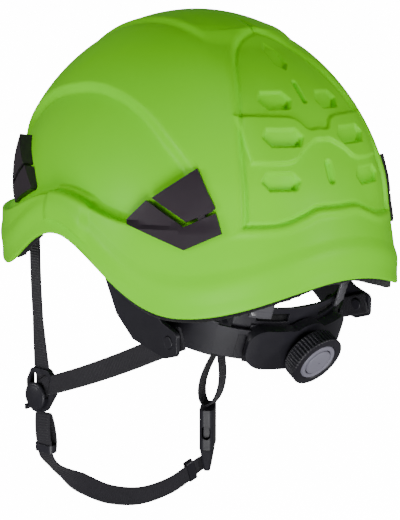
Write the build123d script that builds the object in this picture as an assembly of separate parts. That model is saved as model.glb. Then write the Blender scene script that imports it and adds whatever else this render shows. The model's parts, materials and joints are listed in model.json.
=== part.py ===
from build123d import *
import os
from math import asin, cos, degrees, hypot, pi, radians, sin

os.makedirs("parts", exist_ok=True)

# Climbing helmet, in millimetres. The front is -Y, the wearer's left is +X and up is +Z.
# The origin is the middle of the head opening, at the height of the headband.

# ---- shell -------------------------------------------------------------------------------
CROWN_Z = 139.0  # highest point of the outer surface
BASE_Z = -7.3  # the dome is widest here and flares slightly below it
HALF_WIDTH = 114.8
FRONT_REACH = 150.8
REAR_REACH = 141.0
PLAN_POWER = 2.19  # 2 would be an ellipse
PROFILE_POWER = 1.98
FLARE_PER_MM = 0.00015
SHELL_WALL = 2.6
# rim height by angle round from the front: brow, temple, ear arch, behind the ear, nape
RIM = [(0, -9.0), (54, -28.0), (96, 4.4), (138, -36.4), (180, -18.2)]
FLANGE_STEP = 5.0  # how far the lower band stands out from the dome
# height of the flange's top edge, by angle round from the front
LEDGE = [(0, 10.0), (50, 10.0), (96, 31.0), (130, 18.0), (180, 18.0)]
LEDGE_RISE = 6.0
NAPE_FLARE_HEIGHT = 48.0
LEDGE_FADE = (118, 150)  # angles over which the ledge softens into a plain flare
SECTION_ANGLE = 12  # spacing of the wall sections round the shell
DOME_POINTS = 7  # points up each section above the ledge
TOP_LIFT = 86.0  # where the sections stop, beside the axis, in degrees

# ---- foam rim liner ----------------------------------------------------------------------
LINER_THICK = 7.0
LINER_DEPTH = 16.0
LINER_GAP = 1.5
LINER_SHOW = 5.0  # how far the liner hangs below the rim behind the ears

# ---- lamp clips --------------------------------------------------------------------------
CLIP_PROUD = 3.8
CLIP_ROOT = 10.0
CLIP_CURVE = 125.0  # radius of the clips' outer face, near the dome's own
CLIP_CORNER = 1.0
CLIP_FACET = (-17.0, 13.0)  # where the hook's sloping tip starts, and its slope in degrees
CLIP_PLATE = [(-14.5, 0.5), (11.5, 18), (23, -4), (21, -6.3), (6.5, -12.5)]
CLIP_HOOK = [(23.4, -7), (27, -18.5), (6, -28.5), (-29, -15), (-30.5, -12.5), (-18, -1), (5, -15.5)]
CLIP_BRIDGE = [(12.5, -9), (16.5, -7), (18, -11), (14, -13)]
CLIP_REAR_POINT = (84.5, 93.0, 30.0)
CLIP_REAR_NORMAL = (0.788, 0.597, 0.141)
CLIP_FRONT_POINT = (100.9, -58.0, 41.0)
CLIP_FRONT_NORMAL = (0.943, -0.292, 0.16)

# ---- ear-muff sockets --------------------------------------------------------------------
SOCKET_SLOT = (5.0, 31.0, 14.0)
SOCKET_WALL = 2.0
SOCKET_Y = 20.0
SOCKET_INSET = 6.2  # leaves room for the curve of the shell's wall
SOCKET_BASE_Z = 6.5
SOCKET_CLEAR = Vector(0.4, 0.4, 0.4)
SOCKET_APPROACH_Z = -30.0  # the liner is cut away this far below the socket's mouth

# ---- textile cradle ----------------------------------------------------------------------
CRADLE_WIDTH = 20.0
CRADLE_THICK = 1.4
CRADLE_BASE_Z = 4.0
SIDE_ANCHOR_Z = 26.0
CRADLE_TOP_Z = 98.0
CRADLE_STACK = 2.6  # height between one cradle strap and the next at the crown
SIDE_REACH = 101.0
DIAGONAL_REACH = 122.0
FRONT_ANCHOR = 38.0  # angle from the front
ANCHOR_WIDTH = 26.0
ANCHOR_HEIGHT = 15.0
ANCHOR_GAP = 2.2  # behind an anchor's flat back, where the shell curves away
ANCHOR_DEPTH = 15.0
SIDE_ANCHOR_DEPTH = 20.0
CROWN_PAD_RADIUS = 32.0
CROWN_PAD_DROP = 3.8
CROWN_PAD_THICK = 4.0

# ---- headband ----------------------------------------------------------------------------
BAND_HALF_WIDTH = 80.0
BAND_HALF_LENGTH = 98.0
BAND_CENTRE_Y = -4.0
BAND_THICK = 1.6
BAND_HEIGHT = 20.0
BAND_FRONT_Z = 8.0
BAND_SLOPE = 6.0  # the band drops towards the ears
BAND_END_Y = 14.0
LINK_START = 92.0  # bars from the band out to the front anchors
LINK_END = 112.5
LINK_WIDTH = 12.0
LINK_HEIGHT = 5.0
PAD_THICK = 5.0
PAD_END_Y = -38.0
HUB_X = 80.4
HUB_THICK = 3.0
HUB_SLEEVE = (78.9, 72.0, 92.0, 11.0)  # inner radius, angles and half-height round the arm
HUB_CORNER = 4.0
# side plate from above the band down and back to the rear strap's rivet, as (y, z)
HUB_OUTLINE = [
    (2, 31), (2, -10), (26, -50), (44, -63), (78, -68), (90, -64), (90, -50), (76, -46),
    (48, -30), (26, 2), (18, 31),
]
RIVET_RADIUS = 4.0
RIVET_INSET = 2.4
RIVET_LENGTH = 8.4

# ---- clearances ----------------------------------------------------------------------------
FIT = 0.05  # running clearance of a shaft in its hole, on the radius
GAP = 0.4  # clearance between pieces that move past each other

# ---- nape arms, all on one tilted circle ----------------------------------------------------
NAPE_TILT = 20.0
NAPE_CENTRE = (0, 37.0, -39.5)
NAPE_RADIUS = 76.0
ARM_THICK = 1.6
ARM_HALF_HEIGHT = 12.0
ARM_OUTER_ANGLE = 90.0
ARM_BODY_ANGLE = 34.0
STRIP_END_ANGLE = -14.0
STRIP_LOW = 6.2
STRIP_HIGH = 10.4
ARM_NECK_ANGLE = 44.0  # the body is only as high as the strips up to here
TOOTH_PITCH_ANGLE = 3.0
TOOTH_HEIGHT = 1.0
WINDOW_FROM = 40.0
WINDOW_TO = 62.0

# ---- ratchet housing and knob ------------------------------------------------------------
HOUSING_ANGLE = 30.0
HOUSING_HALF_HEIGHT = 13.8
HOUSING_CORNER = 11.0
HOUSING_ROUND = 17.5  # the round shield behind the knob
HOUSING_OUT = 4.5
KNOB_TILT = 30.0
KNOB_RADIUS = 18.5
KNOB_THICK = 11.0
KNOB_START = 7.4
KNOB_WALL = 3.0
KNOB_HOLLOW = 5.0
KNURLS = 36
KNURL_RADIUS = 1.1
CAP_RADIUS = 9.0
CAP_SEAT = 2.0
SHAFT_RADIUS = 4.0
SCREW_RADIUS = 1.6
BOSS_RADIUS = 11.0
BOSS_RISE = 3.0  # how far the boss reaches into the knob
COVER_THICK = 1.4
COVER_GAP = 0.2
COVER_INSET = 0.5  # the cover stops this far inside the housing's edge
COVER_SCREW_RADIUS = 0.8
COVER_SCREW_LENGTH = 6.0
CHANNEL_INNER = NAPE_RADIUS - ARM_THICK / 2 - GAP
CHANNEL_OUTER = NAPE_RADIUS + ARM_THICK / 2 + GAP
SCREW_X = 22.0
SCREW_HEIGHT = 12.1
NAPE_BAND_ANGLE = 38.0
NAPE_BAND_TOP = 25.0
NAPE_BAND_LOW = -13.0
NAPE_BAND_THICK = 2.0
NAPE_BAND_OUTER = CHANNEL_INNER - COVER_THICK - 2 * COVER_GAP
NAPE_SLOT_ANGLES = (10, 27)
NAPE_SLOT_HEIGHTS = (15.5, 21.0)
PAWL_RADII = (13.2, 14.4)
PAWL_ANGLE = 50
PAWL_HEIGHT = 2.6
PAWL_START = 1.8
PINION_RADIUS = 5.6
PINION_TEETH = 10
PINION_TOOTH = (2.4, 1.7)
PINION_LOW = -0.2
PINION_HIGH = 1.4

# ---- rear hangers ------------------------------------------------------------------------
HANGER_X = 33.0
HANGER_PIVOT = (118.4, -9.5)
HANGER_WIDTH = 14.0
HANGER_THICK = 1.6
HANGER_ANGLES = (21, 31.5)
EYE_RADIUS = 4.0
HANGER_LOW = 19.6
HANGER_HIGH = 54.0
PIN_RADIUS = 1.6
BRACKET_WALL_Y = 131.5
BRACKET_CHEEK = 2.0
BRACKET_HEIGHTS = (-3.4, 4.0)
BRACKET_FLOOR = 5.2  # depth of the fork behind the pin

# ---- chin straps -------------------------------------------------------------------------
WEB_WIDTH = 15.0
WEB_THICK = 1.6
FRONT_STRAP_TOP = (73.0, -95.0, -3.0)
FRONT_HOLDER = (8.0, 18.0, -10.0, 4.5)  # width, depth, bottom and top from the strap's top
REAR_STRAP_START = (78.0, 82.0, -57.0)
REAR_STRAP_TAIL = 8.0  # past the rivet
ADJUSTER_LEFT = (74.0, -88.0, -131.0)
ADJUSTER_RIGHT = (-83.0, -75.0, -107.0)
ADJUSTER_HEIGHT = 34.0
ADJUSTER_OUTLINE = [(-9, 16), (7, 16), (13.5, 7), (12, -3), (3, -17), (-9, -18), (-14, -11), (-14, 6)]
ADJUSTER_OPENING = [(-10, 12.5), (6, 12.5), (10, 6), (8.5, -2), (6, -6.5), (-10.5, -6.5)]
ADJUSTER_CORNER = 3.5
ADJUSTER_THICK = 5.0
ADJUSTER_TURN = 18.0  # the adjusters look outwards and slightly back
LEVER_PIVOT = (-14.0, 4.6)  # up and out from the adjuster's middle
LEVER_U = -7.0
LEVER_WIDTH = 13.0
LEVER_LENGTH = 19.0
BARREL_WIDTH = 7.0
LUG = 2.0
LEVER_PIN = 1.0
LEVER_BARREL = 1.9
LEVER_LIFT = 0.6
KEEPER_HEIGHT = 6.0
LOOP_LENGTH = 32.0
LOOP_DEPTH = 5.4
WIDE_LOOP_HALF = 8.0
LOOP_TURN = 27.0  # the right loop opens at this angle from +Y
CHIN_Y = -80.0
CHIN_PIVOT = (62.0, -197.0)
CHIN_PATH = [(62, -197), (45, -211), (22, -225), (-6, -234), (-36, -232), (-65, -222)]
KEEPER_RIGHT = (-54.0, -226.4, 17.0)  # x, z and slope in degrees

# ---- buckle --------------------------------------------------------------------------------
BUCKLE_POINT = (-75.0, -80.0, -207.0)  # the middle of the socket's mouth
BUCKLE_TURN = 45.0  # the buckle's width runs at this angle from +X
BUCKLE_SIZE = (27.0, 12.0, 34.0)
BUCKLE_CAVITY = (22.4, 8.0, 28.0)
PRONG_SIZE = (3.4, 6.2, 24.0)
SEAM = 0.6  # between the closed halves
PLUG_TOP = (25.0, 11.0)
PLUG_FOOT = (16.0, 5.0)
PLUG_SLOT = (12.0, 4.0)
PLUG_SLOT_Z = -14.0
TONGUE = (5.0, 4.0, 16.6)
WINDOW_SIZE = (12.0, 7.4)
WINDOW_HEIGHT = 15.0
PLUG_LENGTH = 20.0


# ---- the dome ------------------------------------------------------------------------------
def height_at(angle, stations):
    """Height at an angle in degrees round from the front, eased between the stations."""
    angle = abs(angle)
    for (a0, z0), (a1, z1) in zip(stations, stations[1:]):
        if angle <= a1:
            share = (1 - cos(pi * (angle - a0) / (a1 - a0))) / 2
            return z0 + (z1 - z0) * share
    return stations[-1][1]


def rim_height(angle):
    return height_at(angle, RIM)


def ledge_height(angle):
    return height_at(angle, LEDGE)


def plan_radius(angle):
    """Distance from the axis to the dome's widest outline."""
    across = abs(sin(radians(angle)))
    along = -cos(radians(angle))
    reach = REAR_REACH if along > 0 else FRONT_REACH
    total = (across / HALF_WIDTH) ** PLAN_POWER + (abs(along) / reach) ** PLAN_POWER
    return total ** (-1 / PLAN_POWER)


def profile(z):
    """Share of the widest outline that the dome has at height z."""
    if z < BASE_Z:
        return 1 + FLARE_PER_MM * (BASE_Z - z)
    share = min((z - BASE_Z) / (CROWN_Z - BASE_Z), 1.0)
    return (1 - share**PROFILE_POWER) ** (1 / PROFILE_POWER)


def smooth(t):
    """Ease from 0 to 1."""
    t = max(0.0, min(1.0, t))
    return t * t * (3 - 2 * t)


def flange_offset(angle, z):
    """How far the lower band stands out: a step at the ears and brow, a flare at the nape."""
    step = 1 - smooth((z - ledge_height(angle) + LEDGE_RISE) / LEDGE_RISE)
    flare = 1 - smooth((z - rim_height(angle)) / NAPE_FLARE_HEIGHT)
    mix = smooth((abs(angle) - LEDGE_FADE[0]) / (LEDGE_FADE[1] - LEDGE_FADE[0]))
    return FLANGE_STEP * (step * (1 - mix) + flare * mix)


def wall_point(angle, z, inset):
    """Point on the shell's wall, inset mm in from the outer surface."""
    radius = plan_radius(angle) * profile(z) + flange_offset(angle, z) - inset
    return (radius * sin(radians(angle)), -radius * cos(radians(angle)), z)


def dome_point(angle, lift, inset):
    """Point on the dome above the flange; lift runs from 0 at BASE_Z to 90 at the crown."""
    height = (CROWN_Z - BASE_Z - inset) * sin(radians(lift)) ** (2 / PROFILE_POWER)
    share = cos(radians(lift)) ** (2 / PROFILE_POWER)
    z = BASE_Z + height
    radius = (plan_radius(angle) - inset) * share + flange_offset(angle, z)
    return (radius * sin(radians(angle)), -radius * cos(radians(angle)), z)


def wall_section(angle, inset, z_low):
    """Points up one side of the wall, from z_low to close beside the axis."""
    ledge = ledge_height(angle)
    foot = ledge - LEDGE_RISE
    heights = [z_low, (z_low + foot) / 2, foot, ledge]
    share = (ledge + 12 - BASE_Z) / (CROWN_Z - BASE_Z)
    first = degrees(asin(share ** (PROFILE_POWER / 2)))
    gap = (TOP_LIFT - first) / (DOME_POINTS - 1)
    upper = [dome_point(angle, first + gap * k, inset) for k in range(DOME_POINTS)]
    return [wall_point(angle, z, inset) for z in heights] + upper


def shell_half():
    sections = []
    for step in range(180 // SECTION_ANGLE + 1):
        angle = step * SECTION_ANGLE
        low = rim_height(angle)
        outer = wall_section(angle, 0, low)
        inner = wall_section(angle, SHELL_WALL, low)
        edges = [Spline(*outer), Line(outer[-1], inner[-1])]
        edges += [Spline(*reversed(inner)), Line(inner[0], outer[0])]
        sections.append(Wire(edges))
    return Solid.make_loft(sections)


def make_shell():
    half = shell_half()
    crown = Pos(0, 0, CROWN_Z - SHELL_WALL - 1.5) * extrude(Circle(16), SHELL_WALL + 0.5)
    return half + mirror(half, Plane.YZ) + crown


# ---- small helpers --------------------------------------------------------------------------
def block(low, high):
    """Box between two corners."""
    low = tuple(low)
    high = tuple(high)
    size = [high[i] - low[i] for i in range(3)]
    middle = [(high[i] + low[i]) / 2 for i in range(3)]
    return Pos(*middle) * Box(*size)


def ribbon(start, end, side, width=WEB_WIDTH, thick=WEB_THICK):
    """Straight flat strap from start to end, its width along side."""
    path = Vector(*end) - Vector(*start)
    plane = Plane(origin=start, x_dir=side, z_dir=path)
    return plane * extrude(Rectangle(width, thick), path.length)


def ring_strip(low, high, first, last, bottom, top):
    """Part of a tube about local Z: radii, angles from local +Y towards +X, heights."""

    def at(radius, angle):
        return (radius * sin(radians(angle)), radius * cos(radians(angle)))

    middle = (first + last) / 2
    outer = ThreePointArc(at(high, first), at(high, middle), at(high, last))
    inner = ThreePointArc(at(low, first), at(low, middle), at(low, last))
    ends = [Line(at(low, first), at(high, first)), Line(at(low, last), at(high, last))]
    return Pos(0, 0, bottom) * extrude(make_face([outer, inner] + ends), top - bottom)


NAPE_PLANE = Plane(
    origin=NAPE_CENTRE,
    x_dir=(1, 0, 0),
    z_dir=(0, sin(radians(NAPE_TILT)), cos(radians(NAPE_TILT))),
)
NAPE_REAR = (
    0,
    NAPE_CENTRE[1] + NAPE_RADIUS * cos(radians(NAPE_TILT)),
    NAPE_CENTRE[2] - NAPE_RADIUS * sin(radians(NAPE_TILT)),
)
KNOB_PLANE = Plane(
    origin=NAPE_REAR,
    x_dir=(1, 0, 0),
    z_dir=(0, cos(radians(KNOB_TILT)), -sin(radians(KNOB_TILT))),
)


def disc(radius, start, end):
    """Cylinder on the knob's axis."""
    return KNOB_PLANE * Pos(0, 0, start) * extrude(Circle(radius), end - start)


# ---- liner, clips, sockets ---------------------------------------------------------------------
def liner_low(angle):
    show = smooth((angle - 92) / 24)
    return rim_height(angle) + 2 - (LINER_SHOW + 2) * show


def make_liner():
    sections = []
    for step in range(180 // SECTION_ANGLE + 1):
        angle = step * SECTION_ANGLE
        low = liner_low(angle)
        high = min(low + LINER_DEPTH, ledge_height(angle) - LEDGE_RISE - 1)
        gap = SHELL_WALL + LINER_GAP
        corners = [
            wall_point(angle, low, gap),
            wall_point(angle, high, gap),
            wall_point(angle, high, gap + LINER_THICK * 0.6),
            wall_point(angle, low, gap + LINER_THICK),
        ]
        sections.append(Wire(Polyline(*corners, close=True)))
    half = Solid.make_loft(sections)
    return half + mirror(half, Plane.YZ)


def clip_face(corners):
    face = make_face(Polyline(*corners, close=True))
    return fillet(face.vertices(), CLIP_CORNER)


def clip_blank():
    """Trapezoid plate over a V-shaped hook, bridged at one spot, with a domed outer face."""
    outline = clip_face(CLIP_PLATE) + clip_face(CLIP_HOOK)
    outline += make_face(Polyline(*CLIP_BRIDGE, close=True))
    blank = Pos(0, 0, -CLIP_ROOT) * extrude(outline, CLIP_ROOT + CLIP_PROUD)
    blank = blank & (Pos(0, 0, CLIP_PROUD - CLIP_CURVE) * Sphere(CLIP_CURVE))
    start, slope = CLIP_FACET
    above = block((-60, -60, 0), (0, 60, 20))
    return blank - Pos(start, 0, CLIP_PROUD - 1) * Rot(Y=-slope) * above


def make_clip(point, normal, blank, shell):
    """Clip standing on the shell, in a plane that touches the dome at point."""
    n = Vector(*normal).normalized()
    plane = Plane(origin=point, x_dir=Vector(0, 0, 1).cross(n), z_dir=n)
    outside = (plane * blank - shell).solids()
    return max(outside, key=lambda solid: (solid.center() - Vector(*point)).dot(n))


def make_socket():
    """Ear-muff socket: an open-bottomed sleeve behind the flange over the ear."""
    depth, length, height = SOCKET_SLOT
    wall = SOCKET_WALL
    outer_x = wall_point(90, SOCKET_BASE_Z + 10, SHELL_WALL)[0] - SOCKET_INSET
    top = SOCKET_BASE_Z + height + wall
    low_x = outer_x - depth - 2 * wall
    half = length / 2
    sleeve = block(
        (low_x, SOCKET_Y - half - wall, SOCKET_BASE_Z), (outer_x, SOCKET_Y + half + wall, top)
    )
    slot = block(
        (low_x + wall, SOCKET_Y - half, SOCKET_BASE_Z - 1),
        (outer_x - wall, SOCKET_Y + half, top - wall),
    )
    return sleeve - slot


# ---- textile cradle --------------------------------------------------------------------------
def cradle_strap(reach, base_z, top_z, angle):
    """Strap over the crown in one upright plane, angle degrees round from X."""
    rise = top_z - base_z
    arc = Ellipse(reach, rise) - Ellipse(reach - CRADLE_THICK, rise - CRADLE_THICK)
    arc = arc & (Pos(0, rise) * Rectangle(3 * reach, 2 * rise))
    plane = Plane(origin=(0, 0, base_z), x_dir=(cos(radians(angle)), sin(radians(angle)), 0),
                  z_dir=(sin(radians(angle)), -cos(radians(angle)), 0))
    return plane * Pos(0, 0, -CRADLE_WIDTH / 2) * extrude(arc, CRADLE_WIDTH)


def make_cradle():
    diagonal = 90 - FRONT_ANCHOR
    return {
        "cradle_strap_lateral": cradle_strap(SIDE_REACH, SIDE_ANCHOR_Z, CRADLE_TOP_Z, 0),
        "cradle_strap_diagonal_left": cradle_strap(
            DIAGONAL_REACH, CRADLE_BASE_Z, CRADLE_TOP_Z + CRADLE_STACK, -diagonal
        ),
        "cradle_strap_diagonal_right": cradle_strap(
            DIAGONAL_REACH, CRADLE_BASE_Z, CRADLE_TOP_Z + 2 * CRADLE_STACK, diagonal
        ),
    }


def make_anchor(angle, base_z, depth):
    """Block that holds a strap's end against the inside of the shell."""
    height = ANCHOR_HEIGHT
    step = 2
    before = Vector(*wall_point(angle - step, base_z, 0))
    after = Vector(*wall_point(angle + step, base_z, 0))
    along = (after - before).normalized()
    here = wall_point(angle, base_z + height, SHELL_WALL)
    low = wall_point(angle, base_z, SHELL_WALL)
    if hypot(low[0], low[1]) < hypot(here[0], here[1]):
        here = low
    if Vector(0, 0, 1).cross(along).dot(Vector(*here)) < 0:
        along = along * -1
    plane = Plane(origin=(here[0], here[1], base_z), x_dir=along, z_dir=(0, 0, 1))
    face = Pos(0, -depth / 2 - ANCHOR_GAP) * RectangleRounded(ANCHOR_WIDTH, depth, 2)
    return plane * extrude(face, height)


def make_crown_pad():
    """Shallow domed foam disc under the crossing of the straps."""
    top = CRADLE_TOP_Z - CRADLE_THICK - 0.5
    edge = top - CROWN_PAD_DROP
    outer = ThreePointArc((0, top), (CROWN_PAD_RADIUS * 0.52, top - CROWN_PAD_DROP * 0.26),
                          (CROWN_PAD_RADIUS, edge))
    side = Line((CROWN_PAD_RADIUS, edge), (CROWN_PAD_RADIUS, edge - CROWN_PAD_THICK))
    base = Line((CROWN_PAD_RADIUS, edge - CROWN_PAD_THICK), (0, edge - CROWN_PAD_THICK))
    axis = Line((0, edge - CROWN_PAD_THICK), (0, top))
    return revolve(Plane.XZ * make_face([outer, side, base, axis]), Axis.Z)


# ---- headband ------------------------------------------------------------------------------------
def oval_ring(grow_out, grow_in, height, end_y):
    """Upright oval band, cut to a sloping slab and to y below end_y."""
    outer = Ellipse(BAND_HALF_WIDTH + grow_out, BAND_HALF_LENGTH + grow_out)
    inner = Ellipse(BAND_HALF_WIDTH + grow_in, BAND_HALF_LENGTH + grow_in)
    tall = 2 * BAND_HEIGHT
    ring = Pos(0, BAND_CENTRE_Y, -tall) * extrude(outer - inner, 2 * tall)
    front = BAND_CENTRE_Y - BAND_HALF_LENGTH
    slab = Pos(0, front, BAND_FRONT_Z) * Rot(X=-BAND_SLOPE) * Box(300, 600, height)
    return (ring & slab) & block((-200, -200, -100), (200, end_y, 100))


def make_headband():
    band = oval_ring(0, -BAND_THICK, BAND_HEIGHT, BAND_END_Y)
    for side in (1, -1):
        link = block((LINK_START, -LINK_WIDTH / 2, 2), (LINK_END, LINK_WIDTH / 2, 2 + LINK_HEIGHT))
        angle = -90 + side * FRONT_ANCHOR
        band += Rot(Z=angle) * link
    return band


def make_brow_pad():
    return oval_ring(-BAND_THICK - 0.3, -BAND_THICK - 0.3 - PAD_THICK, BAND_HEIGHT - 2, PAD_END_Y)


def make_hub():
    """Left side plate: joins the band's end, the side anchor and the nape arm."""
    face = make_face(Polyline(*HUB_OUTLINE, close=True))
    face = fillet(face.vertices(), HUB_CORNER)
    plane = Plane(origin=(HUB_X, 0, 0), x_dir=(0, 1, 0), z_dir=(1, 0, 0))
    plate = plane * extrude(face, HUB_THICK)
    low, first, last, half = HUB_SLEEVE
    sleeve = NAPE_PLANE * ring_strip(low, low + HUB_THICK, first, last, -half, half)
    return plate + sleeve - hub_rivet()


def hub_rivet():
    x, y, z = REAR_STRAP_START
    return Pos(x - RIVET_INSET, y, z) * Rot(Y=90) * extrude(Circle(RIVET_RADIUS), RIVET_LENGTH)


# ---- nape unit --------------------------------------------------------------------------------
def make_arm():
    """Left nape arm: a windowed band that narrows to a toothed strip in the housing."""
    low = NAPE_RADIUS - ARM_THICK / 2
    high = NAPE_RADIUS + ARM_THICK / 2
    half = ARM_HALF_HEIGHT
    body = ring_strip(low, high, ARM_NECK_ANGLE, ARM_OUTER_ANGLE, -half, half)
    body += ring_strip(low, high, ARM_BODY_ANGLE, ARM_NECK_ANGLE, -STRIP_HIGH, STRIP_HIGH)
    window = ring_strip(low - 2, high + 2, WINDOW_FROM, WINDOW_TO, -4, 4)
    strip_low = STRIP_LOW + TOOTH_HEIGHT
    strip = ring_strip(low, high, STRIP_END_ANGLE, ARM_BODY_ANGLE, strip_low, STRIP_HIGH)
    arm = body - window + strip
    tooth = STRIP_END_ANGLE + 1
    while tooth < ARM_BODY_ANGLE - TOOTH_PITCH_ANGLE:
        end = tooth + TOOTH_PITCH_ANGLE / 2
        arm += ring_strip(low, high, tooth, end, STRIP_LOW, strip_low + 0.2)
        tooth += TOOTH_PITCH_ANGLE
    return NAPE_PLANE * arm


def turned_arm(arm):
    """Right arm: the left one turned half a turn about the nape's own radial axis."""
    axis = Axis(NAPE_PLANE.origin, NAPE_PLANE.y_dir)
    return arm.rotate(axis, 180)


def housing_outline():
    """Prism through the housing: a rounded bar with a round shield in its middle."""
    half_wide = (NAPE_RADIUS + HOUSING_OUT) * sin(radians(HOUSING_ANGLE))
    bar = RectangleRounded(2 * half_wide, 2 * HOUSING_HALF_HEIGHT, HOUSING_CORNER)
    return Rot(X=-90) * extrude(bar + Circle(HOUSING_ROUND), 2 * NAPE_RADIUS)


def make_housing():
    low = CHANNEL_INNER
    high = CHANNEL_OUTER
    half = HOUSING_ROUND
    body = ring_strip(low, high + HOUSING_OUT, -HOUSING_ANGLE, HOUSING_ANGLE, -half, half)
    body = body & housing_outline()
    channel_half = STRIP_HIGH + GAP
    past = HOUSING_ANGLE + 4
    body -= ring_strip(low - 2, high, -past, past, -channel_half, channel_half)
    housing = NAPE_PLANE * body
    boss_end = KNOB_START + BOSS_RISE
    boss = disc(BOSS_RADIUS, BOSS_RISE, boss_end)
    housing = housing + boss - (disc(KNOB_RADIUS + 1, KNOB_START - GAP, 2 * KNOB_RADIUS) - boss)
    housing -= disc(PINION_RADIUS + 1, -PINION_RADIUS, PINION_HIGH + 1)
    housing -= disc(SHAFT_RADIUS + FIT, 0, boss_end + 1)
    for x in (-SCREW_X, SCREW_X):
        housing -= screw_at(x)
    return housing


def screw_at(x):
    """Cover screw, driven from the head side into the housing's rail."""
    angle = degrees(x / NAPE_RADIUS)
    start = CHANNEL_INNER - COVER_THICK - COVER_GAP
    parts = []
    for height in (SCREW_HEIGHT, -SCREW_HEIGHT):
        shaft = extrude(Circle(COVER_SCREW_RADIUS), COVER_SCREW_LENGTH)
        shaft = Pos(0, start, height) * Rot(X=-90) * shaft
        parts.append(NAPE_PLANE.location * Rot(Z=-angle) * shaft)
    return parts[0] + parts[1]


def make_cover():
    high = CHANNEL_INNER - COVER_GAP
    reach = HOUSING_ANGLE - 1
    half = HOUSING_HALF_HEIGHT - COVER_INSET
    cover = NAPE_PLANE * ring_strip(high - COVER_THICK, high, -reach, reach, -half, half)
    for x in (-SCREW_X, SCREW_X):
        cover -= screw_at(x)
    return cover


def make_nape_band():
    """Cross band above the housing, with a long slot each side."""
    high = NAPE_BAND_OUTER
    low = high - NAPE_BAND_THICK
    reach = NAPE_BAND_ANGLE
    band = ring_strip(low, high, -reach, reach, NAPE_BAND_LOW, NAPE_BAND_TOP)
    bottom, top = NAPE_SLOT_HEIGHTS
    for side in (1, -1):
        ends = sorted(side * angle for angle in NAPE_SLOT_ANGLES)
        band -= ring_strip(low - 1, high + 1, *ends, bottom, top)
    return NAPE_PLANE * band


def make_nape_pad():
    high = NAPE_BAND_OUTER - NAPE_BAND_THICK - GAP
    reach = NAPE_BAND_ANGLE - 3
    return NAPE_PLANE * ring_strip(high - PAD_THICK, high, -reach, reach, -11, NAPE_BAND_TOP - 6)


def make_knob():
    end = KNOB_START + KNOB_THICK
    knob = disc(KNOB_RADIUS, KNOB_START, end)
    hollow_end = KNOB_START + KNOB_HOLLOW
    knob -= disc(KNOB_RADIUS - KNOB_WALL, KNOB_START - 1, hollow_end)
    knob += disc(SHAFT_RADIUS, PINION_HIGH, hollow_end + 1)
    grooves = []
    for k in range(KNURLS):
        turn = 360 * k / KNURLS
        groove = extrude(Circle(KNURL_RADIUS), KNOB_THICK - 2)
        groove = Pos(KNOB_RADIUS + KNURL_RADIUS / 2, 0, KNOB_START - 1) * groove
        grooves.append(KNOB_PLANE.location * Rot(Z=turn) * groove)
    knob = knob - grooves
    knob -= disc(CAP_RADIUS + 0.1, end - CAP_SEAT, end + 1)
    return knob - disc(SCREW_RADIUS, PINION_HIGH - 1, end)


def make_cap():
    end = KNOB_START + KNOB_THICK
    return disc(CAP_RADIUS, end - CAP_SEAT + 0.1, end + 0.4)


def make_knob_screw():
    end = KNOB_START + KNOB_THICK
    return disc(SCREW_RADIUS, PINION_LOW, end - CAP_SEAT - 0.1)


def make_pinion():
    thick = PINION_HIGH - PINION_LOW
    pinion = disc(PINION_RADIUS - PINION_TOOTH[0] / 2, PINION_LOW, PINION_HIGH)
    for k in range(PINION_TEETH):
        tooth = extrude(Rectangle(*PINION_TOOTH), thick)
        turn = Rot(Z=360 * k / PINION_TEETH)
        pinion += KNOB_PLANE.location * turn * Pos(PINION_RADIUS - PINION_TOOTH[0] / 2, 0, PINION_LOW) * tooth
    pinion = pinion & disc(PINION_RADIUS, PINION_LOW, PINION_HIGH)
    return pinion - disc(SCREW_RADIUS, -5, 5)


def make_pawl():
    """Springy finger in the knob's back whose nose clicks round the boss."""
    low, high = PAWL_RADII
    arc = ring_strip(low, high, -PAWL_ANGLE, PAWL_ANGLE, 0, PAWL_HEIGHT)
    nose = block((-0.8, BOSS_RADIUS + GAP, 0), (0.8, low + 0.2, PAWL_HEIGHT))
    return KNOB_PLANE.location * Pos(0, 0, KNOB_START + PAWL_START) * (arc + nose)


def make_hanger():
    """Left hanger: an eye on the bracket's pin and a curved strip down to the nape band."""
    x = HANGER_X
    low = NAPE_RADIUS - 1.0
    strip = ring_strip(low, low + HANGER_THICK, *HANGER_ANGLES, HANGER_LOW, HANGER_HIGH)
    strip = NAPE_PLANE * strip
    pin = Pos(x, *HANGER_PIVOT) * Rot(Y=90)
    eye = pin * Pos(0, 0, -HANGER_WIDTH / 2) * extrude(Circle(EYE_RADIUS), HANGER_WIDTH)
    hole = pin * Pos(0, 0, -HANGER_WIDTH) * extrude(Circle(PIN_RADIUS + FIT), 2 * HANGER_WIDTH)
    return (strip + eye) - hole


def make_bracket():
    """Left bracket: a fork on the shell with the hanger's pin."""
    x = HANGER_X
    y, z = HANGER_PIVOT
    half = HANGER_WIDTH / 2 + GAP
    wide = half + BRACKET_CHEEK
    low, high = BRACKET_HEIGHTS
    fork = block((x - wide, y - EYE_RADIUS, z + low), (x + wide, BRACKET_WALL_Y, z + high))
    far = 2 * EYE_RADIUS
    fork -= block((x - half, y - far, z - far), (x + half, y + BRACKET_FLOOR, z + far))
    pin = Pos(x - half, y, z) * Rot(Y=90) * extrude(Circle(PIN_RADIUS), 2 * half)
    return fork + pin


# ---- chin straps ------------------------------------------------------------------------------------
def adjuster_plane(centre):
    side = 1 if centre[0] > 0 else -1
    turn = radians(ADJUSTER_TURN)
    normal = (side * cos(turn), sin(turn), 0)
    return Plane(origin=centre, x_dir=(-sin(turn), side * cos(turn), 0), z_dir=normal)


def shield(corners, side):
    """Outline with rounded corners, turned over for the right side."""
    face = make_face(Polyline(*[(side * u, v) for u, v in corners], close=True))
    return fillet(face.vertices(), ADJUSTER_CORNER)


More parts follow.
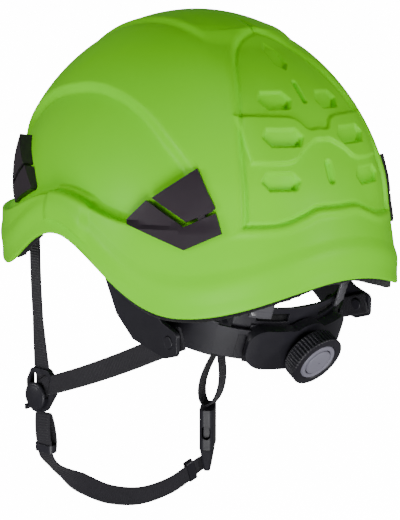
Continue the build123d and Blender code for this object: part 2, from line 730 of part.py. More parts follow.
def make_adjuster(centre):
    """Strap adjuster: a shield-shaped frame with one opening and the lever's hinge pin."""
    side = 1 if centre[0] > 0 else -1
    u = side * LEVER_U
    y, z = LEVER_PIVOT
    half = BARREL_WIDTH / 2 + GAP
    thick = ADJUSTER_THICK
    face = shield(ADJUSTER_OUTLINE, side) - shield(ADJUSTER_OPENING, side)
    solid = Pos(0, 0, -thick / 2) * extrude(face, thick)
    for start in (u - half - LUG, u + half):
        solid += block((start, y - LUG, thick / 2 - 0.5), (start + LUG, y + LUG, z + LUG))
    solid += Pos(u - half, y, z) * Rot(Y=90) * extrude(Circle(LEVER_PIN), 2 * half)
    return adjuster_plane(centre) * solid


def make_lever(centre):
    """Cam lever that locks the straps in the adjuster: an oval button on a barrel."""
    u = LEVER_U if centre[0] > 0 else -LEVER_U
    y, z = LEVER_PIVOT
    corner = LEVER_WIDTH / 2 - 0.1
    thick = 2 * LEVER_BARREL - LEVER_LIFT
    face = RectangleRounded(LEVER_WIDTH, LEVER_LENGTH, corner)
    face -= Pos(0, -LEVER_LENGTH / 2) * Rectangle(LEVER_WIDTH, 2 * LUG + 2)
    face += Pos(0, -LEVER_LENGTH / 2 + LUG) * Rectangle(BARREL_WIDTH, 2 * LUG)
    plate = Pos(u, y + LEVER_LENGTH / 2, z - LEVER_BARREL + LEVER_LIFT) * extrude(face, thick)
    start = Pos(u - BARREL_WIDTH / 2, y, z) * Rot(Y=90)
    barrel = start * extrude(Circle(LEVER_BARREL), BARREL_WIDTH)
    bore = start * Pos(0, 0, -1) * extrude(Circle(LEVER_PIN + FIT), BARREL_WIDTH + 2)
    return adjuster_plane(centre) * (plate + barrel - bore)


def make_front_anchor():
    """Left holder for the top of the front strap, under the cradle's front anchor."""
    x, y, z = FRONT_STRAP_TOP
    wide, deep, low, high = FRONT_HOLDER
    return block((x - wide / 2, y - deep / 2, z + low), (x + wide / 2, y + deep / 2, z + high))


def make_front_strap(centre):
    side = 1 if centre[0] > 0 else -1
    x, y, z = FRONT_STRAP_TOP
    end = (centre[0], centre[1] - 1, centre[2] + ADJUSTER_HEIGHT / 2 + 1.5)
    return ribbon((side * x, y, z), end, (0, 1, 0.08))


def make_rear_strap(centre):
    side = 1 if centre[0] > 0 else -1
    x, y, z = REAR_STRAP_START
    end = Vector(centre[0] + side * 1.5, centre[1] + 15, centre[2] + 9)
    start = Vector(side * x, y, z)
    start -= (end - start).normalized() * REAR_STRAP_TAIL
    strap = ribbon(start, end, Vector(1, 0, 0).cross(end - start))
    rivet = hub_rivet()
    return strap - (rivet if side > 0 else mirror(rivet, Plane.YZ))


def ring_loop(plane, outer, inner):
    """Loop of webbing, its path in the plane and its width across it."""
    return plane * Pos(0, 0, -WEB_WIDTH / 2) * extrude(outer - inner, WEB_WIDTH)


def make_left_loop():
    """Doubled webbing from the adjuster down to the keeper."""
    frame = adjuster_plane(ADJUSTER_LEFT)
    bottom = ADJUSTER_LEFT[2] - ADJUSTER_HEIGHT / 2 - 0.5
    origin = (ADJUSTER_LEFT[0], ADJUSTER_LEFT[1] + 2, bottom - LOOP_LENGTH / 2)
    plane = Plane(origin=origin, x_dir=frame.z_dir, z_dir=frame.x_dir)
    outer = RectangleRounded(LOOP_DEPTH, LOOP_LENGTH, LOOP_DEPTH / 2 - 0.05)
    hollow = LOOP_DEPTH - 2 * WEB_THICK
    inner = RectangleRounded(hollow, LOOP_LENGTH - 2 * WEB_THICK, hollow / 2 - 0.05)
    return ring_loop(plane, outer, inner)


def make_left_keeper(loop_low):
    """Oval ring round the foot of the left loop."""
    x, y, z = loop_low
    frame = adjuster_plane(ADJUSTER_LEFT)
    plane = Plane(origin=(x, y, z + 2), x_dir=frame.x_dir, z_dir=(0, 0, 1))
    outer = RectangleRounded(WEB_WIDTH + 3, LOOP_DEPTH + 3, 4)
    inner = RectangleRounded(WEB_WIDTH + 0.6, LOOP_DEPTH + 0.6, 1)
    return plane * extrude(outer - inner, KEEPER_HEIGHT)


BUCKLE_PLANE = Plane(
    origin=BUCKLE_POINT,
    x_dir=(cos(radians(BUCKLE_TURN)), sin(radians(BUCKLE_TURN)), 0),
    z_dir=(0, 0, 1),
)


def make_right_loop():
    """Open loop of webbing from the right adjuster down to the buckle."""
    top = ADJUSTER_RIGHT[2] - ADJUSTER_HEIGHT / 2 - 0.5
    bottom = BUCKLE_POINT[2] + BUCKLE_SIZE[2] + 0.5
    half = (top - bottom) / 2
    lean = (ADJUSTER_RIGHT[0] + BUCKLE_POINT[0]) / 2
    across = Vector(-sin(radians(LOOP_TURN)), cos(radians(LOOP_TURN)), 0)
    slope = Vector(ADJUSTER_RIGHT[0] - BUCKLE_POINT[0], ADJUSTER_RIGHT[1] - BUCKLE_POINT[1], 0)
    rise = Vector(slope.X, slope.Y, 2 * half).normalized()
    origin = (lean, (ADJUSTER_RIGHT[1] + BUCKLE_POINT[1]) / 2, (top + bottom) / 2)
    facing = across.cross(rise)
    plane = Plane(origin=origin, x_dir=across, z_dir=facing)
    outer = Ellipse(WIDE_LOOP_HALF, half)
    inner = Ellipse(WIDE_LOOP_HALF - WEB_THICK, half - WEB_THICK)
    return ring_loop(plane, outer, inner)


def buckle_box(size, corner, bottom):
    return Pos(0, 0, bottom) * extrude(RectangleRounded(size[0], size[1], corner), size[2])


def make_buckle_socket():
    """Female half: open below, with an oval window for each prong's button."""
    socket = buckle_box(BUCKLE_SIZE, 4, 0)
    socket -= buckle_box(BUCKLE_CAVITY, 1.5, -1)
    window = Pos(-BUCKLE_SIZE[0], 0, WINDOW_HEIGHT) * Rot(Y=90)
    window *= RectangleRounded(*WINDOW_SIZE, WINDOW_SIZE[1] / 2 - 0.1)
    socket -= extrude(window, 2 * BUCKLE_SIZE[0], dir=(1, 0, 0))
    return BUCKLE_PLANE * socket


def extrude_taper(top, foot, length):
    """Body below the socket's mouth that narrows both ways towards its foot."""
    upper = Pos(0, 0, -SEAM) * RectangleRounded(*top, 2)
    lower = Pos(0, 0, -length) * RectangleRounded(*foot, 2)
    return loft([upper, lower])


def make_buckle_plug():
    """Male half's body: a guide tongue above and a slotted bar for the webbing below."""
    body = extrude_taper(PLUG_TOP, PLUG_FOOT, PLUG_LENGTH)
    slot = extrude(Pos(0, PLUG_SLOT_Z) * RectangleRounded(*PLUG_SLOT, 1), 2 * PLUG_LENGTH)
    slot = Plane.XZ * Pos(0, 0, -PLUG_LENGTH) * slot
    tongue = buckle_box(TONGUE, 1, -SEAM - 0.2)
    return BUCKLE_PLANE * (body + tongue - slot)


def make_prong(side):
    """Springy prong; its shoulder is the button in the socket's window."""
    wide, deep, tall = PRONG_SIZE
    middle = side * (BUCKLE_CAVITY[0] / 2 - 1.5 - wide / 2)
    blade = Pos(middle, 0, 0) * buckle_box(PRONG_SIZE, 1, 0)
    return BUCKLE_PLANE * blade


def make_chin_web():
    """Webbing under the chin, hanging in the plane of the buckle and the left keeper."""
    upper = []
    lower = []
    half = WEB_WIDTH / 2
    for k, (x, z) in enumerate(CHIN_PATH):
        x0, z0 = CHIN_PATH[max(k - 1, 0)]
        x1, z1 = CHIN_PATH[min(k + 1, len(CHIN_PATH) - 1)]
        length = hypot(x1 - x0, z1 - z0)
        nx, nz = (z1 - z0) / length, -(x1 - x0) / length
        upper.append((x + nx * half, z + nz * half))
        lower.append((x - nx * half, z - nz * half))
    edges = [Spline(*upper), Line(upper[-1], lower[-1]), Spline(*reversed(lower)),
             Line(lower[0], upper[0])]
    plane = Plane(origin=(0, CHIN_Y - 0.2, 0), x_dir=(1, 0, 0), z_dir=(0, -1, 0))
    return plane * extrude(make_face(edges), WEB_THICK)


def make_chin_tail(loop_low):
    """Fixed end of the chin webbing, from the left keeper to where it starts to swing."""
    x, _, z = loop_low
    px, pz = CHIN_PIVOT
    run = Vector(px - x, 0, pz - z)
    plane = Plane(origin=(x, CHIN_Y + 0.2, z - 0.5), x_dir=run, z_dir=(0, 1, 0))
    length = run.length + 3
    face = Pos(length / 2 + 2, 0) * RectangleRounded(length, WEB_WIDTH - 1, 3)
    return plane * extrude(face, WEB_THICK)


def make_right_keeper():
    """Flat slider on the chin webbing beside the buckle."""
    x, z, slope = KEEPER_RIGHT
    along = (-cos(radians(slope)), 0, sin(radians(slope)))
    plane = Plane(origin=(x, CHIN_Y - 0.2 - WEB_THICK / 2, z), x_dir=(0, 1, 0), z_dir=along)
    outer = RectangleRounded(WEB_THICK + 4, WEB_WIDTH + 4, 2.7)
    inner = Rectangle(WEB_THICK + 1.2, WEB_WIDTH + 2)
    return plane * extrude(outer - inner, 7)


# ---- write every piece --------------------------------------------------------------------------
def pair(name, left):
    """A left piece and its mirror image."""
    return {name + "_left": left, name + "_right": mirror(left, Plane.YZ)}


def main():
    shell = make_shell()
    sockets = pair("accessory_socket", make_socket())
    parts = {"shell": shell, "rim_liner": make_liner()}
    blank = clip_blank()
    rear = make_clip(CLIP_REAR_POINT, CLIP_REAR_NORMAL, blank, shell)
    front = make_clip(CLIP_FRONT_POINT, CLIP_FRONT_NORMAL, mirror(blank, Plane.YZ), shell)
    parts |= pair("lamp_clip_rear", rear) | pair("lamp_clip_front", front)
    parts |= sockets
    for socket in sockets.values():
        box = socket.bounding_box()
        low = Vector(box.min.X, box.min.Y, SOCKET_APPROACH_Z)
        parts["rim_liner"] -= block(low - SOCKET_CLEAR, box.max + SOCKET_CLEAR)

    cradle = make_cradle()
    lateral, diagonal_left, diagonal_right = cradle.values()
    straps = lateral + diagonal_left + diagonal_right
    anchors = {
        "front": make_anchor(FRONT_ANCHOR, CRADLE_BASE_Z - 2, ANCHOR_DEPTH),
        "side": make_anchor(90, SIDE_ANCHOR_Z - 2, SIDE_ANCHOR_DEPTH),
        "rear": make_anchor(180 - FRONT_ANCHOR, CRADLE_BASE_Z - 2, ANCHOR_DEPTH),
    }
    for place, anchor in anchors.items():
        for name, solid in pair(f"cradle_anchor_{place}", anchor).items():
            parts[name] = solid - straps
    parts |= cradle
    parts["crown_pad"] = make_crown_pad()

    parts["headband"] = make_headband()
    parts["brow_pad"] = make_brow_pad()
    parts |= pair("side_hub", make_hub())
    parts |= pair("hub_rivet", hub_rivet())

    arm = make_arm()
    parts |= {"nape_arm_left": arm, "nape_arm_right": turned_arm(arm)}
    parts["ratchet_housing"] = make_housing()
    parts["ratchet_cover"] = make_cover()
    parts["cover_screws"] = Compound(screw_at(SCREW_X).solids() + screw_at(-SCREW_X).solids())
    parts["nape_band"] = make_nape_band()
    parts["nape_pad"] = make_nape_pad()
    parts["knob"] = make_knob()
    parts["knob_cap"] = make_cap()
    parts["knob_screw"] = make_knob_screw()
    parts["pinion"] = make_pinion()
    parts["ratchet_pawl"] = make_pawl()
    parts |= pair("nape_hanger", make_hanger()) | pair("hanger_bracket", make_bracket())

    parts |= pair("strap_anchor_front", make_front_anchor())
    for side, centre in (("left", ADJUSTER_LEFT), ("right", ADJUSTER_RIGHT)):
        strap = make_front_strap(centre)
        parts[f"front_strap_{side}"] = strap
        parts[f"strap_anchor_front_{side}"] -= strap
        parts[f"rear_strap_{side}"] = make_rear_strap(centre)
        parts[f"adjuster_{side}"] = make_adjuster(centre)
        parts[f"adjuster_lever_{side}"] = make_lever(centre)
    loop = make_left_loop()
    box = loop.bounding_box()
    loop_low = (box.center().X, box.center().Y, box.min.Z)
    parts |= {"chin_loop_left": loop, "strap_keeper_left": make_left_keeper(loop_low)}
    parts["chin_loop_right"] = make_right_loop()
    parts["chin_tail"] = make_chin_tail(loop_low)
    parts["chin_strap"] = make_chin_web()
    parts["strap_keeper_right"] = make_right_keeper()
    parts["buckle_socket"] = make_buckle_socket()
    parts["buckle_plug"] = make_buckle_plug()
    parts["buckle_prong_rear"] = make_prong(1)
    parts["buckle_prong_front"] = make_prong(-1)

    for name, solid in parts.items():
        export_step(solid, f"parts/{name}.step")


main()
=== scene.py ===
import json
from math import cos, pi, radians, sin

import bmesh
import bpy
import numpy as np
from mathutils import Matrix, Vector
from mathutils.bvhtree import BVHTree


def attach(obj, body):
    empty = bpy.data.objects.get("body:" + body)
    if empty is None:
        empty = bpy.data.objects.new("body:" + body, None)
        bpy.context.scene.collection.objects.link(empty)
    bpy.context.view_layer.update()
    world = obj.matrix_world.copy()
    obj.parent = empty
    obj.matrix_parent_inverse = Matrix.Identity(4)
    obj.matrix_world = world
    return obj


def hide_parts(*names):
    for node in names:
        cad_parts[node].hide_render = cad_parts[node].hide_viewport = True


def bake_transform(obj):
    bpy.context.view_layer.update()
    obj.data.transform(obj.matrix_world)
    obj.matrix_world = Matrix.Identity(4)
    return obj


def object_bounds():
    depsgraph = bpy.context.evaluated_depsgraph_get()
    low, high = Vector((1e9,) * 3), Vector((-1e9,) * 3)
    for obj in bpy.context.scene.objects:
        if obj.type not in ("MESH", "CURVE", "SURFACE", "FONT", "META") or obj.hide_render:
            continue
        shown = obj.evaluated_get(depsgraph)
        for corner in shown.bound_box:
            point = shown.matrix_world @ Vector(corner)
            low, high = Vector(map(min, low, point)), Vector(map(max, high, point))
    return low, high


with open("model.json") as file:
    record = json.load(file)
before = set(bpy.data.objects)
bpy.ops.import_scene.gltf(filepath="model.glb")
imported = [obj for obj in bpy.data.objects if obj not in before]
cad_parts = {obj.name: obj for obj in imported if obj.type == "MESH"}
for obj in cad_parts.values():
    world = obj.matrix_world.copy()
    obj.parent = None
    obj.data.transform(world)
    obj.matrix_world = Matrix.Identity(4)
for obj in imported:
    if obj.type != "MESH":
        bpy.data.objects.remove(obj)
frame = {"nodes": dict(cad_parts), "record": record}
cad_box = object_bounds()

# Shapes are worked out in millimetres and written to Blender in metres.
MM = 0.001
RECORD = frame["record"]
SLOT_OF = {part["node"]: part["material_slot"] for part in RECORD["subparts"]}
for lever_node in ("adjuster_lever_left", "adjuster_lever_right"):
    SLOT_OF[lever_node] = "plastic_black"
BODY_OF = {node: body for body, nodes in RECORD["behaviour"]["bodies"].items() for node in nodes}

# ---- dome, the same shape as the CAD shell ------------------------------------------------
CROWN_Z = 139.0
BASE_Z = -7.3
HALF_WIDTH = 114.8
FRONT_REACH = 150.8
REAR_REACH = 141.0
PLAN_POWER = 2.19
PROFILE_POWER = 1.98
FLARE_PER_MM = 0.00015
WALL = 2.6
RIM = [(0, -9.0), (54, -28.0), (96, 4.4), (138, -36.4), (180, -18.2)]
LEDGE = [(0, 10.0), (50, 10.0), (96, 31.0), (130, 18.0), (180, 18.0)]
LEDGE_RISE = 4.0
FLANGE_STEP = 5.0
NAPE_FLARE_HEIGHT = 48.0
LEDGE_FADE = (118, 150)

# ---- straps and nape unit, from the same dimensions as the CAD ------------------------------
WEB_WIDTH = 15.0
WEB_THICK = 1.6
RIB_PITCH = 2.0
NAPE_TILT = radians(20.0)
KNOB_TILT = radians(30.0)
NAPE_CENTRE = np.array((0, 37.0, -39.5))
NAPE_RADIUS = 76.0
KNOB_AXIS = np.array((0, cos(KNOB_TILT), -sin(KNOB_TILT)))
KNOB_UP = np.array((0, sin(KNOB_TILT), cos(KNOB_TILT)))
KNOB_POINT = NAPE_CENTRE + NAPE_RADIUS * np.array((0, cos(NAPE_TILT), -sin(NAPE_TILT)))
X_AXIS = np.array((1.0, 0, 0))
Z_AXIS = np.array((0, 0, 1.0))
FRONT_STRAP_TOP = (73.0, -95.0, -3.0)
REAR_STRAP_START = np.array((78.0, 82.0, -57.0))
REAR_STRAP_TAIL = 8.0
ADJUSTER = {1: np.array((74.0, -88.0, -131.0)), -1: np.array((-83.0, -75.0, -107.0))}
ADJUSTER_HEIGHT = 34.0
ADJUSTER_TURN = radians(18.0)
BUCKLE_POINT = np.array((-75.0, -80.0, -207.0))
LOOP_TURN = radians(27.0)
SOCKET_HEIGHT = 34.0


# ---- materials -----------------------------------------------------------------------------
def start_material(name):
    """New material, with its node tree, its shader and the object's own coordinates."""
    material = bpy.data.materials.new(name)
    material.use_nodes = True
    tree = material.node_tree
    where = tree.nodes.new("ShaderNodeTexCoord").outputs["Object"]
    return material, tree, tree.nodes["Principled BSDF"], where


def noise(tree, where, scale, detail=4.0):
    """Value of a noise texture over the given coordinates."""
    node = tree.nodes.new("ShaderNodeTexNoise")
    node.inputs["Scale"].default_value = scale
    node.inputs["Detail"].default_value = detail
    tree.links.new(where, node.inputs["Vector"])
    return node.outputs["Fac"]


def mix_colour(tree, share, low, high):
    """Colour between two, by a texture's value, with the texture's middle range spread out."""
    node = tree.nodes.new("ShaderNodeValToRGB")
    node.color_ramp.elements[0].position = 0.3
    node.color_ramp.elements[0].color = (*low, 1)
    node.color_ramp.elements[1].position = 0.7
    node.color_ramp.elements[1].color = (*high, 1)
    tree.links.new(share, node.inputs["Fac"])
    return node.outputs["Color"]


def spread(tree, share, low, high):
    """Number between two, by a texture's value."""
    node = tree.nodes.new("ShaderNodeMapRange")
    node.inputs["From Min"].default_value = 0.3
    node.inputs["From Max"].default_value = 0.7
    node.inputs["To Min"].default_value = low
    node.inputs["To Max"].default_value = high
    tree.links.new(share, node.inputs["Value"])
    return node.outputs["Result"]


def bump(tree, shader, height, distance, strength=1.0, under=None):
    """Bump on the shader, on top of the one under it where there is one."""
    node = tree.nodes.new("ShaderNodeBump")
    node.inputs["Distance"].default_value = distance
    node.inputs["Strength"].default_value = strength
    tree.links.new(height, node.inputs["Height"])
    if under:
        tree.links.new(under, node.inputs["Normal"])
    tree.links.new(node.outputs["Normal"], shader.inputs["Normal"])
    return node.outputs["Normal"]


def wave(tree, where, scale, direction, shape="SIN"):
    """Value of a banded texture along one direction."""
    node = tree.nodes.new("ShaderNodeTexWave")
    node.bands_direction = direction
    node.wave_profile = shape
    node.inputs["Scale"].default_value = scale
    tree.links.new(where, node.inputs["Vector"])
    return node.outputs["Fac"]


def moulded_plastic(name, dark, light, roughness, grain=2200, depth=0.00002, coat=0.0):
    """Injection-moulded plastic: a fine spark-eroded grain, faint flow variation and handling wear."""
    material, tree, shader, where = start_material(name)
    flow = noise(tree, where, 18, 3)
    wear = noise(tree, where, 160, 5)
    tree.links.new(mix_colour(tree, flow, dark, light), shader.inputs["Base Color"])
    rough = spread(tree, wear, roughness - 0.05, roughness + 0.07)
    tree.links.new(rough, shader.inputs["Roughness"])
    bump(tree, shader, noise(tree, where, grain, 2), depth, 0.6)
    shader.inputs["Specular IOR Level"].default_value = 0.35
    shader.inputs["Coat Weight"].default_value = coat
    shader.inputs["Coat Roughness"].default_value = 0.25
    return material


def webbing_material():
    """Polyester webbing: threads along and across, with a slightly uneven colour and roughness."""
    material, tree, shader, _ = start_material("webbing_black")
    cloth = tree.nodes.new("ShaderNodeUVMap").outputs["UV"]
    along = wave(tree, cloth, 0.65, "X")
    across = wave(tree, cloth, 0.16, "Y")
    weave = tree.nodes.new("ShaderNodeMath")
    weave.operation = "MULTIPLY"
    tree.links.new(along, weave.inputs[0])
    tree.links.new(across, weave.inputs[1])
    fuzz = noise(tree, cloth, 3.0, 5)
    colour = mix_colour(tree, fuzz, (0.013, 0.012, 0.016), (0.036, 0.034, 0.042))
    tree.links.new(colour, shader.inputs["Base Color"])
    tree.links.new(spread(tree, fuzz, 0.62, 0.85), shader.inputs["Roughness"])
    low = bump(tree, shader, weave.outputs[0], 0.00018, 0.8)
    bump(tree, shader, fuzz, 0.00006, 0.6, low)
    shader.inputs["Sheen Weight"].default_value = 0.12
    shader.inputs["Specular IOR Level"].default_value = 0.3
    shader.inputs["Sheen Roughness"].default_value = 0.4
    return material


def foam_material():
    """Foam with a knitted face: small stitch cells and a soft sheen."""
    material, tree, shader, where = start_material("foam_black")
    cells = tree.nodes.new("ShaderNodeTexVoronoi")
    cells.inputs["Scale"].default_value = 700
    tree.links.new(where, cells.inputs["Vector"])
    fuzz = noise(tree, where, 420, 6)
    colour = mix_colour(tree, fuzz, (0.007, 0.007, 0.008), (0.020, 0.020, 0.021))
    tree.links.new(colour, shader.inputs["Base Color"])
    tree.links.new(spread(tree, fuzz, 0.8, 0.95), shader.inputs["Roughness"])
    bump(tree, shader, cells.outputs["Distance"], 0.0004, 0.8)
    shader.inputs["Sheen Weight"].default_value = 0.12
    shader.inputs["Specular IOR Level"].default_value = 0.2
    return material


def steel_material():
    """Steel with a fine uneven finish."""
    material, tree, shader, where = start_material("steel")
    finish = noise(tree, where, 900, 6)
    colour = mix_colour(tree, finish, (0.42, 0.42, 0.44), (0.58, 0.58, 0.60))
    tree.links.new(colour, shader.inputs["Base Color"])
    tree.links.new(spread(tree, finish, 0.25, 0.42), shader.inputs["Roughness"])
    bump(tree, shader, finish, 0.00002, 0.5)
    shader.inputs["Metallic"].default_value = 1.0
    return material


def shell_material():
    """Vivid green ABS: satin skin with a trace of orange peel and slight flow variation."""
    material, tree, shader, where = start_material("shell_green")
    flow = noise(tree, where, 9, 3)
    colour = mix_colour(tree, flow, (0.210, 0.900, 0.000), (0.240, 0.960, 0.000))
    tree.links.new(colour, shader.inputs["Base Color"])
    tree.links.new(spread(tree, noise(tree, where, 70, 4), 0.36, 0.44), shader.inputs["Roughness"])
    peel = bump(tree, shader, noise(tree, where, 240, 2), 0.00003, 0.5)
    bump(tree, shader, noise(tree, where, 2600, 2), 0.00001, 0.5, peel)
    shader.inputs["Specular IOR Level"].default_value = 0.12
    return material


MATERIALS = {
    "shell_green": shell_material(),
    "foam_black": foam_material(),
    "webbing_black": webbing_material(),
    "clip_black": moulded_plastic("clip_black", (0.026, 0.018, 0.026), (0.034, 0.025, 0.034), 0.48),
    "plastic_black": moulded_plastic("plastic_black", (0.017, 0.016, 0.021), (0.027, 0.026, 0.034), 0.38),
    "steel": steel_material(),
    "hanger_grey": moulded_plastic(
        "hanger_grey", (0.100, 0.098, 0.110), (0.140, 0.136, 0.150), 0.2, coat=0.5
    ),
    "knob_grey": moulded_plastic("knob_grey", (0.210, 0.205, 0.255), (0.260, 0.252, 0.310), 0.42),
}


# ---- mesh helpers -----------------------------------------------------------------------------
def ease(t):
    """Smooth step from 0 to 1."""
    t = np.clip(t, 0, 1)
    return t * t * (3 - 2 * t)


def between(value, low, high):
    """Eases from 0 at low to 1 at high."""
    return ease((value - low) / (high - low))


def unit(v):
    """Vectors scaled to length 1."""
    v = np.asarray(v, float)
    return v / np.linalg.norm(v, axis=-1, keepdims=True)


def make_piece(name, points, faces):
    """Smooth-shaded mesh object from points in millimetres."""
    mesh = bpy.data.meshes.new(name)
    mesh.from_pydata((np.asarray(points, float) * MM).tolist(), [], faces)
    mesh.update()
    mesh.polygons.foreach_set("use_smooth", [True] * len(mesh.polygons))
    piece = bpy.data.objects.new(name, mesh)
    bpy.context.scene.collection.objects.link(piece)
    return piece


def grid_faces(rows, columns, closed):
    """Quads over a grid of points; closed joins the last column to the first."""
    last = columns if closed else columns - 1
    row = np.arange(rows - 1)[:, None] * columns
    column = np.arange(last)[None, :]
    after = (column + 1) % columns
    corners = [row + column, row + after, row + columns + after, row + columns + column]
    return np.stack(corners, -1).reshape(-1, 4).tolist()


def stand_for(piece, *nodes, ride=True):
    """The piece takes the body, slot and material of the CAD nodes that it replaces."""
    slot = SLOT_OF[nodes[0]]
    piece.data.materials.clear()
    piece.data.materials.append(MATERIALS[slot])
    if ride:
        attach(piece, BODY_OF[nodes[0]])
    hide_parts(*nodes)
    return piece


def round_edges(piece, edge):
    """Rounds the piece's sharp edges by edge mm."""
    rounding = piece.modifiers.new("rounding", "BEVEL")
    rounding.width = edge * MM
    rounding.segments = 3
    rounding.limit_method = "ANGLE"
    rounding.angle_limit = radians(32)
    rounding.miter_outer = "MITER_ARC"
    piece.modifiers.new("shading", "WEIGHTED_NORMAL").keep_sharp = True


def moulded(node, edge):
    """Copy of a CAD node with its sharp edges rounded by edge mm."""
    source = frame["nodes"][node].data
    bm = bmesh.new()
    bm.from_mesh(source)
    bmesh.ops.remove_doubles(bm, verts=bm.verts, dist=2e-6)
    bmesh.ops.dissolve_limit(bm, angle_limit=radians(1), verts=bm.verts, edges=bm.edges)
    points = [v.co / MM for v in bm.verts]
    faces = [[v.index for v in face.verts] for face in bm.faces]
    bm.free()
    piece = make_piece(node + "_moulded", points, faces)
    round_edges(piece, edge)
    return stand_for(piece, node)


def smooth_path(points, spacing, closed=False):
    """Even samples on a curve through the points, with each sample's place along the points."""
    points = np.asarray(points, float)
    if closed:
        padded = np.vstack([points[-1:], points, points[:2]])
    else:
        padded = np.vstack([2 * points[0] - points[1], points, 2 * points[-1] - points[-2]])
    spans = len(padded) - 3
    share = np.linspace(0, spans, spans * 40 + 1)
    k = np.minimum(share.astype(int), spans - 1)
    t = (share - k)[:, None]
    p0, p1, p2, p3 = padded[k], padded[k + 1], padded[k + 2], padded[k + 3]
    line = 0.5 * (2 * p1 + (p2 - p0) * t + (2 * p0 - 5 * p1 + 4 * p2 - p3) * t**2
                  + (3 * p1 - p0 - 3 * p2 + p3) * t**3)
    run = np.concatenate([[0], np.cumsum(np.linalg.norm(np.diff(line, axis=0), axis=1))])
    count = max(int(run[-1] / spacing), 8)
    at = np.linspace(0, run[-1], count + 1)
    fine = np.stack([np.interp(at, run, line[:, i]) for i in range(3)], 1)
    return fine, np.interp(at, run, share), at


def webbing(name, path, sides, width=WEB_WIDTH, thick=WEB_THICK, closed=False, rib=0.3):
    """Ribbed strap along a path in mm. Each point of the path has the direction of the width."""
    spacing = RIB_PITCH / 4.5
    line, share, along = smooth_path(path, spacing, closed)
    sides = unit(np.asarray(sides, float))
    if closed:
        sides = np.vstack([sides, sides[:1]])
    side = np.stack([np.interp(share, np.arange(len(sides)), sides[:, i]) for i in range(3)], 1)
    tangent = unit(np.gradient(line, axis=0))
    side = unit(side - tangent * (side * tangent).sum(1)[:, None])
    normal = np.cross(tangent, side)
    half = width / 2
    level = thick / 2
    inner = half - 1.5
    top = [(-half, 0, 0), (-half + 0.5, 0.75, 0), (-inner, 1, 0), (-inner + 0.6, 1, 1),
           (-inner / 2, 1, 1), (0, 1, 1), (inner / 2, 1, 1), (inner - 0.6, 1, 1), (inner, 1, 0),
           (half - 0.5, 0.75, 0), (half, 0, 0)]
    section = top + [(u, -h, r) for u, h, r in reversed(top[1:-1])]
    groove = rib * (0.5 - 0.5 * np.cos(2 * pi * along / RIB_PITCH))
    rows = []
    for u, h, ribbed in section:
        height = h * (level - ribbed * groove)
        rows.append(line + side * u + normal * height[:, None])
    points = np.stack(rows, 1)
    count = len(along) - 1 if closed else len(along)
    columns = len(section)
    faces = grid_faces(count, columns, True)
    if closed:
        last = (count - 1) * columns
        for c in range(columns):
            after = (c + 1) % columns
            faces.append([last + c, last + after, after, c])
    else:
        faces.append(list(range(columns))[::-1])
        faces.append([(count - 1) * columns + c for c in range(columns)])
    piece = make_piece(name, points[:count].reshape(-1, 3), faces)
    weave = np.stack([np.tile([u for u, _, _ in section], count), np.repeat(along[:count], columns)], 1)
    uv = piece.data.uv_layers.new(name="weave")
    corner = np.empty(len(piece.data.loops), int)
    piece.data.loops.foreach_get("vertex_index", corner)
    uv.data.foreach_set("uv", weave[corner].astype(np.float32).ravel())
    return piece


# ---- shell ---------------------------------------------------------------------------------------
def height_at(angle, stations):
    """Height at angles in degrees round from the front, eased between the stations."""
    angles, heights = np.array(stations).T
    turn = np.abs(angle)
    k = np.clip(np.searchsorted(angles, turn, side="right") - 1, 0, len(angles) - 2)
    share = (1 - np.cos(pi * (turn - angles[k]) / (angles[k + 1] - angles[k]))) / 2
    return heights[k] + (heights[k + 1] - heights[k]) * share


def plan_radius(angle):
    """Radius of the dome's foot, seen from above."""
    across = np.abs(np.sin(np.radians(angle)))
    along = -np.cos(np.radians(angle))
    reach = np.where(along > 0, REAR_REACH, FRONT_REACH)
    total = (across / HALF_WIDTH) ** PLAN_POWER + (np.abs(along) / reach) ** PLAN_POWER
    return total ** (-1 / PLAN_POWER)


def profile(z):
    """Share of the foot's radius that is left at a height."""
    share = np.clip((z - BASE_Z) / (CROWN_Z - BASE_Z), 0, 1)
    flare = 1 + FLARE_PER_MM * np.clip(BASE_Z - z, 0, None)
    return (1 - share**PROFILE_POWER) ** (1 / PROFILE_POWER) * flare


def flange_offset(angle, z):
    """How far the flange steps out: a ledge at the front and sides, a flare at the nape."""
    step = 1 - between(z, height_at(angle, LEDGE) - LEDGE_RISE, height_at(angle, LEDGE))
    flare = 1 - between(z, height_at(angle, RIM), height_at(angle, RIM) + NAPE_FLARE_HEIGHT)
    mix = between(np.abs(angle), *LEDGE_FADE)
    return FLANGE_STEP * (step * (1 - mix) + flare * mix)


def dome_grid(angles, shares):
    """Points on the plain dome, rows from the rim to the crown at the given shares of the way."""
    t = np.linspace(0, 1, 700)[:, None]
    rim = height_at(angles, RIM)[None, :]
    z = rim + (CROWN_Z - rim) * np.sin(pi / 2 * t) ** 1.01
    turn = np.broadcast_to(angles[None, :], z.shape)
    radius = plan_radius(turn) * profile(z) + flange_offset(turn, z)
    run = np.hypot(np.diff(radius, axis=0), np.diff(z, axis=0)).cumsum(0)
    run = np.vstack([np.zeros((1, len(angles))), run])
    run /= run[-1]
    columns = []
    for c, angle in enumerate(angles):
        r = np.interp(shares, run[:, c], radius[:, c])
        h = np.interp(shares, run[:, c], z[:, c])
        columns.append(np.stack([r * sin(radians(angle)), -r * cos(radians(angle)), h], 1))
    return np.stack(columns, 1)


def grid_normals(points):
    """Outward directions of a closed grid."""
    around = np.roll(points, -1, 1) - np.roll(points, 1, 1)
    up = np.gradient(points, axis=0)
    normals = np.cross(around, up)
    length = np.linalg.norm(normals, axis=-1, keepdims=True)
    normals = normals / np.maximum(length, 1e-9)
    normals[-1] = (0, 0, 1)
    return normals


